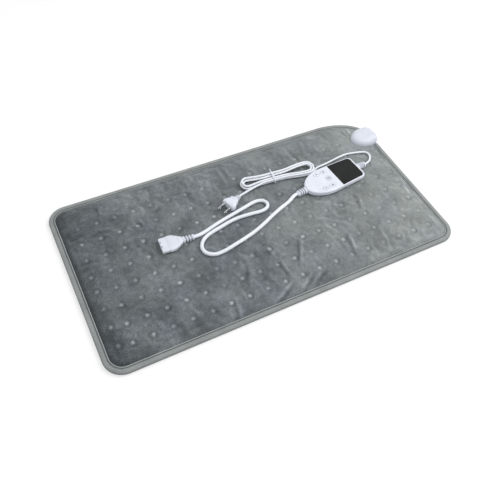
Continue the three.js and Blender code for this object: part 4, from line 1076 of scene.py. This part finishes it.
def pad_inset(x, y):
    """How far a point lies inside the pad's edge."""
    cx, cy, rx, ry = pad_corner(x, y)
    dx, dy = abs(x) - cx, abs(y) - cy
    if dx <= 0 or dy <= 0:
        return min(PAD_LENGTH / 2 - abs(x), PAD_WIDTH / 2 - abs(y))
    q = math.hypot(dx / rx, dy / ry)
    return (1 - q) * q / math.hypot(dx / rx ** 2, dy / ry ** 2)


def row_ends(y, inset):
    """Left and right ends of the pad's outline at that inset, across the row at y."""
    ends = []
    for side in (-1, 1):
        cx, cy, rx, ry = pad_corner(side, y)
        rise = max(abs(y) - cy, 0) / (ry - inset)
        ends.append(side * (cx + (rx - inset) * math.sqrt(max(1 - rise * rise, 0))))
    return ends


def pad_grid(step, rim):
    """Counts of a grid over the pad inside that inset, and its places row by row."""
    half_x, half_y = PAD_LENGTH / 2 - rim, PAD_WIDTH / 2 - rim
    nx, ny = round(2 * half_x / step), round(2 * half_y / step)
    places = []
    for j in range(ny + 1):
        y = -half_y + 2 * half_y * j / ny
        left, right = row_ends(y, rim)
        places += [(left + (right - left) * i / nx, y) for i in range(nx + 1)]
    return nx, ny, places


def grid_faces(nx, ny):
    width = nx + 1
    return [(a, a + 1, a + 1 + width, a + width) for j in range(ny) for a in range(j * width, j * width + nx)]


def grid_rim(nx, ny):
    """The numbers of a grid's outer points, in order round it."""
    width = nx + 1
    rim = list(range(nx)) + [j * width + nx for j in range(ny)]
    return rim + [ny * width + i for i in range(nx, 0, -1)] + [j * width for j in range(ny, 0, -1)]


def rim_walls(rim, other):
    """Quads between two rims of equal length."""
    count = len(rim)
    return [(rim[k], rim[(k + 1) % count], other[(k + 1) % count], other[k]) for k in range(count)]


def pad_edge(spacing):
    """Points along the pad's outline with their inward directions."""
    outline = []
    for sx, sy, start in ((1, -1, -90), (1, 1, 0), (-1, 1, 90), (-1, -1, 180)):
        cx, cy, rx, ry = pad_corner(sx, sy)
        steps = round(math.pi / 2 * max(rx, ry) / spacing)
        outline += arc(sx * cx, sy * cy, rx, ry, start, start + 90, steps)
    route = []
    for (x0, y0), (x1, y1) in zip(outline, outline[1:] + outline[:1]):
        count = max(1, round(math.hypot(x1 - x0, y1 - y0) / spacing))
        route += [Vector((x0 + (x1 - x0) * i / count, y0 + (y1 - y0) * i / count, 0)) for i in range(count)]
    inward = []
    for i, point in enumerate(route):
        run = (route[(i + 1) % len(route)] - route[i - 1]).normalized()
        inward.append(Vector((-run.y, run.x, 0)))
    return list(zip(route, inward))


# Binding tape and its stitches
def tape_sway(point):
    return noise.noise(point * TAPE_SWAY_SCALE) * TAPE_SWAY


def build_tape():
    """Runs round the pad from one side of the socket to the other."""
    edge = pad_edge(TAPE_SPACING)
    start = next(i for i in range(len(edge)) if in_socket(edge[i - 1][0]) and not in_socket(edge[i][0]))
    edge = edge[start - 1:] + edge[:start - 1]
    kept = [pair for i, pair in enumerate(edge) if i == 0 or not in_socket(pair[0])]
    kept.append(edge[len(kept)])
    rings = []
    for point, inward in kept:
        sway = tape_sway(point)
        ring = []
        for inset, z, _ in TAPE_SECTION:
            reach = inset * MM + (sway if inset > TAPE_SWAY_FROM else 0)
            ring.append(point + inward * reach + Vector((0, 0, z * MM)))
        rings.append(ring)
    tape = loft("binding", rings)
    # Painted shade on the outer edge, the groove and the inner fold, painted highlight on the ridges
    store_painted_shading(tape, [painted_shading for _ in rings for _, _, painted_shading in TAPE_SECTION])
    dress(tape, TAPE, ["edge_binding"], "pad", sharp=60)
    return kept


def build_stitches(kept):
    """Short raised stitches along the tape's sewn line."""
    points, faces = [], []
    run = 0.0
    step = 0
    for (a, inward), (b, _) in zip(kept, kept[1:]):
        length = (b - a).length
        while step * STITCH_PITCH < run + length:
            share = (step * STITCH_PITCH - run) / length
            middle = a.lerp(b, share) + inward * (STITCH_INSET + tape_sway(a))
            add_stitch(points, faces, middle, (b - a).normalized(), inward)
            step += 1
        run += length
    stitches = make("stitching", points, faces)
    dress(stitches, THREAD, body="pad", sharp=80)


def add_stitch(points, faces, middle, run, across):
    faces += ring_faces(len(STITCH_LEVELS), STITCH_SIDES, first=len(points))
    for share in STITCH_LEVELS:
        radius = STITCH_RADIUS * (STITCH_TIP if abs(share) == 1 else 1)
        height = STITCH_HEIGHT + STITCH_ARCH * (1 - share * share)
        for side, up in circle(0, height, radius, STITCH_SIDES):
            points.append(middle + run * STITCH_HALF * share + across * side + Vector((0, 0, up)))


tape_line = build_tape()
build_stitches(tape_line)


# Plush top
def crown_height(inset):
    inset /= MM
    for (i0, z0), (i1, z1) in zip(CROWN, CROWN[1:]):
        if inset <= i1:
            share = max(inset - i0, 0) / (i1 - i0)
            return (z0 + (z1 - z0) * share) * MM
    return CROWN[-1][1] * MM


def ripple(x, y, scale, layer):
    return noise.noise(Vector((x * scale, y * scale, layer)))


def dot_places():
    """Rows of dots, the first column drawn in at the near end."""
    places = []
    for column in range(DOT_COLUMNS):
        for row in range(DOT_ROWS):
            x = DOT_FIRST[0] + column * DOT_PITCH[0] + row * DOT_ROW_SHIFT
            y = DOT_FIRST[1] + row * DOT_PITCH[1]
            if column == 0 and row < DOT_DRAW_ROWS:
                x += DOT_DRAW[0] * (1 - row / DOT_DRAW_ROWS)
                y += DOT_DRAW[1]
            inside = min(PAD_LENGTH / 2 - abs(x), pad_inset(x, y))
            if inside > DOT_MARGIN and not in_socket((x, y), DOT_SOCKET_GAP):
                places.append((x, y))
    return places


def dot_cells():
    """The dots by the squares of the pad that they can reach."""
    cells = {}
    for x, y in dot_places():
        for i in range(-1, 2):
            for j in range(-1, 2):
                cells.setdefault((round(x / DOT_CELL) + i, round(y / DOT_CELL) + j), []).append((x, y))
    return cells


def dot_clarity(x, y):
    """How clearly a dot shows: best at the near left, faint at the right and far sides."""
    slant = clamp(CLARITY_MIDDLE - CLARITY_ALONG * x - CLARITY_ACROSS * y, CLARITY_LEAST, CLARITY_MOST)
    return slant * clamp(RIGHT_CLARITY - RIGHT_FALL * max(x - RIGHT_FROM, 0), CLARITY_LEAST, RIGHT_MOST)


def dotted(x, y, cells):
    """Rise of the dots at a place, and how they change the painted shading: lighter on each dot, painted
    shade in the ring round it.
    """
    rise, shade = 0.0, 0.0
    for dot_x, dot_y in cells.get((round(x / DOT_CELL), round(y / DOT_CELL)), ()):
        away = math.hypot(x - dot_x, y - dot_y)
        reach = away / DOT_RADIUS
        uneven = DOT_MIDDLE + DOT_SPREAD * ripple(dot_x, dot_y, *DOT_NOISE)
        if reach < 1:
            swell = 0.5 + 0.5 * math.cos(math.pi * reach)
            rise += DOT_RISE * swell
            shade += DOT_BRIGHT * min(1, DOT_PLATEAU * swell) * uneven * dot_clarity(dot_x, dot_y)
        # Painted shade in the ring round the dot, deepest on the side that DOT_LEAN points to
        elif reach < 2:
            dip = math.sin(math.pi * (reach - 1))
            lean = ((x - dot_x) * DOT_LEAN[0] + (y - dot_y) * DOT_LEAN[1]) / away
            rise -= DOT_DIP * dip
            shade -= DOT_SHADE * dip * uneven * (1 + lean)
    return rise, shade


def creased(x, y):
    """Rise and painted shade in the folds that cross the plush, each with a painted highlight on a lip at its
    left.
    """
    rise, shade = 0.0, 0.0
    for x0, y0, x1, y1 in CREASES:
        run_x, run_y = (x1 - x0) * MM, (y1 - y0) * MM
        length = math.hypot(run_x, run_y)
        share = ((x - x0 * MM) * run_x + (y - y0 * MM) * run_y) / length ** 2
        across = ((y - y0 * MM) * run_x - (x - x0 * MM) * run_y) / length
        from_middle = abs(share - 0.5) / CREASE_RUN
        if from_middle < 1 and abs(across) < CREASE_REACH:
            across += CREASE_WANDER * ripple(x, y, *CREASE_NOISE)
            held = 1 - from_middle ** 2
            valley = held * math.exp(-(across / CREASE_WIDTH) ** 2)
            lip = held * math.exp(-(across / CREASE_WIDTH - LIP_PLACE) ** 2)
            rise += CREASE_DEPTH * (LIP_SHARE * lip - valley)
            shade += LIP_HIGHLIGHT * lip - VALLEY_SHADE * valley
    return rise, shade


def wrinkled_sheet():
    """Rises and dips of a coarse sheet, too large for the pad, that settles as cloth held fast at the pad's
    edge and round the socket.
    """
    nx, ny = round(PAD_LENGTH / SHEET_STEP), round(PAD_WIDTH / SHEET_STEP)
    points = []
    for j in range(ny + 1):
        for i in range(nx + 1):
            x, y = (i / nx - 0.5) * PAD_LENGTH, (j / ny - 0.5) * PAD_WIDTH
            start = SHEET_START * ripple(x, y, *SHEET_NOISE)
            points.append(Vector((x, y, crown_height(pad_inset(x, y)) + start)))
    sheet = make("sheet", points, grid_faces(nx, ny))
    held = sheet.vertex_groups.new(name="held")
    for index, point in enumerate(points):
        fast = pad_inset(point.x, point.y) < SHEET_EDGE or in_socket(point, SHEET_SOCKET_GAP)
        held.add([index], 1.0 if fast else SHEET_HOLD, "REPLACE")
    add_cloth(sheet)
    for frame_number in range(1, SHEET_FRAMES + 1):
        scene.frame_set(frame_number)
    settled = sheet.evaluated_get(bpy.context.evaluated_depsgraph_get())
    moves = [vertex.co.z - point.z for vertex, point in zip(settled.data.vertices, points)]
    bpy.data.objects.remove(sheet)
    scene.frame_set(1)
    return nx, ny, moves


def add_cloth(sheet):
    modifier = sheet.modifiers.new("wrinkle", "CLOTH")
    cloth = modifier.settings
    assign(cloth, quality=6, mass=0.1, tension_stiffness=20, compression_stiffness=20, shear_stiffness=10,
           bending_stiffness=0.05, vertex_group_mass="held", shrink_min=-SHEET_GROWTH)
    cloth.effector_weights.gravity = 0
    modifier.collision_settings.use_collision = False


def spline_shares(t):
    """Shares of four neighbours in a smooth curve between the middle two."""
    square, cube = t * t, t ** 3
    shares = (1 - t) ** 3, 3 * cube - 6 * square + 4, 3 * t + 3 * square - 3 * cube + 1, cube
    return [share / 6 for share in shares]


def wrinkle(sheet, x, y):
    """The sheet's rise or dip at a place, smoothed over its coarse grid and capped."""
    nx, ny, moves = sheet
    u, v = (x / PAD_LENGTH + 0.5) * nx, (y / PAD_WIDTH + 0.5) * ny
    i, j = int(u), int(v)
    rise = 0.0
    for row, share_y in enumerate(spline_shares(v - j)):
        start = clamp(j + row - 1, 0, ny) * (nx + 1)
        for column, share_x in enumerate(spline_shares(u - i)):
            rise += share_x * share_y * moves[start + clamp(i + column - 1, 0, nx)]
    return clamp(rise, -WRINKLE_DOWN, WRINKLE_UP)


def plush_point(x, y, sheet, cells):
    """Height of the plush at a place, and its painted shading from creases, dots, wrinkle slopes and the left
    side.
    """
    inset = pad_inset(x, y)
    crease_rise, crease_shade = creased(x, y)
    dot_rise, dot_shade = dotted(x, y, cells)
    waves = sum(height * ripple(x, y, scale, layer) for height, scale, layer in PLUSH_WAVES)
    z = crown_height(inset) + wrinkle(sheet, x, y) + crease_rise + dot_rise
    z += clamp((inset - LOOSE_FROM) / LOOSE_REACH) * waves
    # Painted shading by slope: darker where the wrinkles face away from the light at the right, lighter where
    # they face it
    tilt = wrinkle(sheet, x + SLOPE_SHADE_REACH, y + SLOPE_SHADE_REACH / 2)
    tilt -= wrinkle(sheet, x - SLOPE_SHADE_REACH, y - SLOPE_SHADE_REACH / 2)
    slope_shade_strength = clamp(SLOPE_SHADE_MIDDLE + SLOPE_SHADE_SPREAD * ripple(x, y, *SLOPE_SHADE_NOISE), SLOPE_SHADE_LEAST)
    slope_shading = clamp(SLOPE_SHADE * tilt, -SLOPE_SHADE_MOST, SLOPE_SHADE_MOST)
    painted_shading = PLAIN_SHADING + crease_shade + dot_shade - slope_shade_strength * slope_shading
    if x < -LEFT_SHADE_FROM:
        painted_shading -= LEFT_SHADE * clamp((LEFT_SHADE_REACH - inset) / LEFT_SHADE_FADE)
    return min(z, PLUSH_CAP), painted_shading


def build_plush():
    nx, ny, places = pad_grid(PLUSH_STEP, PLUSH_RIM)
    sheet = wrinkled_sheet()
    cells = dot_cells()
    points, painted_shadings = [], []
    for x, y in places:
        z, painted_shading = plush_point(x, y, sheet, cells)
        points.append(Vector((x, y, z)))
        painted_shadings.append(painted_shading)
    rim = grid_rim(nx, ny)
    floor = range(len(points), len(points) + len(rim))
    points += [Vector((points[index].x, points[index].y, PLUSH_FLOOR)) for index in rim]
    painted_shadings += [PLAIN_SHADING] * len(rim)
    faces = grid_faces(nx, ny) + rim_walls(rim, floor) + [tuple(floor)]
    plush = make("plush_top", points, faces)
    store_painted_shading(plush, painted_shadings)
    cut(plush, [socket_hole(PLUSH_UNDER_SOCKET)])
    dress(plush, PLUSH, ["top_cover"], "pad", sharp=70)


build_plush()


# Underside
def build_underside():
    """Lies on the tape's level at its rim and a little higher in the middle."""
    nx, ny, places = pad_grid(BACKING_STEP, BACKING_RIM)
    upper = [Vector((x, y, BACKING_TOP)) for x, y in places]
    lower = []
    for x, y in places:
        inside = clamp((pad_inset(x, y) - BACKING_RIM) / BACKING_SLOPE)
        lower.append(Vector((x, y, BACKING_RISE * inside)))
    count = len(lower)
    faces = grid_faces(nx, ny)
    faces += [tuple(count + i for i in face) for face in faces]
    rim = grid_rim(nx, ny)
    faces += rim_walls(rim, [count + i for i in rim])
    base = make("backing_sheet", lower + upper, faces)
    cut(base, [socket_hole(-FIT)])
    dress(base, BACKING, ["bottom_cover"], "pad", sharp=60)


build_underside()


# Tie round the waist of the hank
def build_tie():
    local = [HANK_FRAME.inverted() @ p for p in hank_points()]
    near = [p.y for p in local if abs(p.x - HANK_WAIST_PLACE) < HANK_WAIST_REACH / 2]
    half = (max(near) - min(near)) / 2 + MAINS_DIAMETER / 2 + TIE_GAP
    middle = (max(near) + min(near)) / 2
    height = HANK_LAYER / 2 + MAINS_DIAMETER / 2 + TIE_GAP
    rings = []
    for offset, bulge in TIE_SECTION:
        loop = []
        for y, z in oval(half + bulge, height + bulge, TIE_POWER, TIE_POINTS):
            x = HANK_WAIST_PLACE + offset * TIE_HALF_WIDTH + TIE_TWIST * math.sin(TIE_WAVES * y / half)
            loop.append((x, middle + y, HANK_LOW + HANK_LAYER / 2 + z))
        rings.append(loop)
    wrap = loft("tie_wrap", rings, HANK_FRAME, closed=True)
    dress(wrap, WHITE, ["hank_tie"], sharp=60)
    return [wrap] + [build_tail(number, middle + half - TIE_GAP) for number in (1, 2)]


def build_tail(number, start):
    """One of the tie's two ends, twisted round each other."""
    rings = []
    for i in range(TAIL_STEPS + 1):
        share = i / TAIL_STEPS
        angle = 2 * math.pi * TAIL_TURNS * share + math.pi * number
        coil = TAIL_COIL + TAIL_SPREAD * share
        x = HANK_WAIST_PLACE + coil * math.cos(angle)
        z = HANK_LOW + HANK_LAYER + TAIL_LIFT + coil * math.sin(angle)
        y = start + TAIL_LENGTH * share
        rings.append([(px, y, pz) for px, pz in circle(x, z, TAIL_RADIUS, TAIL_SIDES)])
    tail = loft(f"tie_tail_{number}", rings, HANK_FRAME)
    return dress(tail, WHITE, sharp=60)


tie_pieces = build_tie()

# Finishes of the pieces kept from the model, by how their names start
KEPT = {
    "carrier_felt": FELT, "padding_felt": FELT, "heating_wire": WIRE, "thermal_cutout": DARK,
    "socket_base": WHITE, "pin_block": DARK, "contact_pin": BRASS, "socket_screw": STEEL,
    "connector_contact": BRASS, "lcd_panel": DARK, "lcd_frame": WHITE, "circuit_board": BOARD,
    "triac": DARK, "capacitor": DARK, "fuse_link": STEEL, "case_screw": STEEL,
}
for name, node in nodes.items():
    finish = DARK if name.endswith("_switch") else None
    for start, look in KEPT.items():
        if name.startswith(start):
            finish = look
    if finish:
        node.data.materials.clear()
        node.data.materials.append(finish)


# Floor and light
def whiten(look):
    """Part of the floor's look is plain white, seen directly or mirrored, so that its shadow stays light."""
    seen = look.add("LightPath", "Is Camera Ray")
    path = seen.node.outputs
    for kind in ("Is Glossy Ray", "Is Transmission Ray"):
        seen = look.add("Math", 0, {0: seen, 1: path[kind]}, operation="MAXIMUM")
    share = look.add("Math", 0, {0: seen, 1: WHITE_SHARE}, operation="MULTIPLY")
    white = look.add("Emission", 0)
    mixed = look.add("MixShader", 0, {0: share, 1: look.main.outputs[0], 2: white})
    look.feed(look.tree.nodes["Material Output"], {"Surface": mixed})


def build_floor():
    half = FLOOR_HALF
    corners = [(-half, -half), (half, -half), (half, half), (-half, half)]
    floor = make("floor", [(x, y, FLOOR_LEVEL) for x, y in corners], [(0, 1, 2, 3)])
    look = Look("floor", roughness=0.9)
    look.feed(look.main, {"Base Color": look.shifts(*FLOOR_TONES, *FLOOR_SHIFTS), "Specular IOR Level": 0.0})
    whiten(look)
    floor.data.materials.append(look.material)


def build_light():
    world = bpy.data.worlds.new("studio")
    scene.world = world
    world.use_nodes = True
    sky = world.node_tree.nodes["Background"]
    sky.inputs["Color"].default_value = (1, 1, 1, 1)
    sky.inputs["Strength"].default_value = SKY_STRENGTH
    for name, place, size, power in LAMPS:
        data = bpy.data.lights.new(name, "AREA")
        assign(data, size=size, energy=power)
        lamp = stand(name, data)
        lamp.location = place
        lamp.rotation_euler = (-Vector(place)).to_track_quat("-Z", "Y").to_euler()
    scene.view_settings.view_transform = "Standard"


build_floor()
build_light()
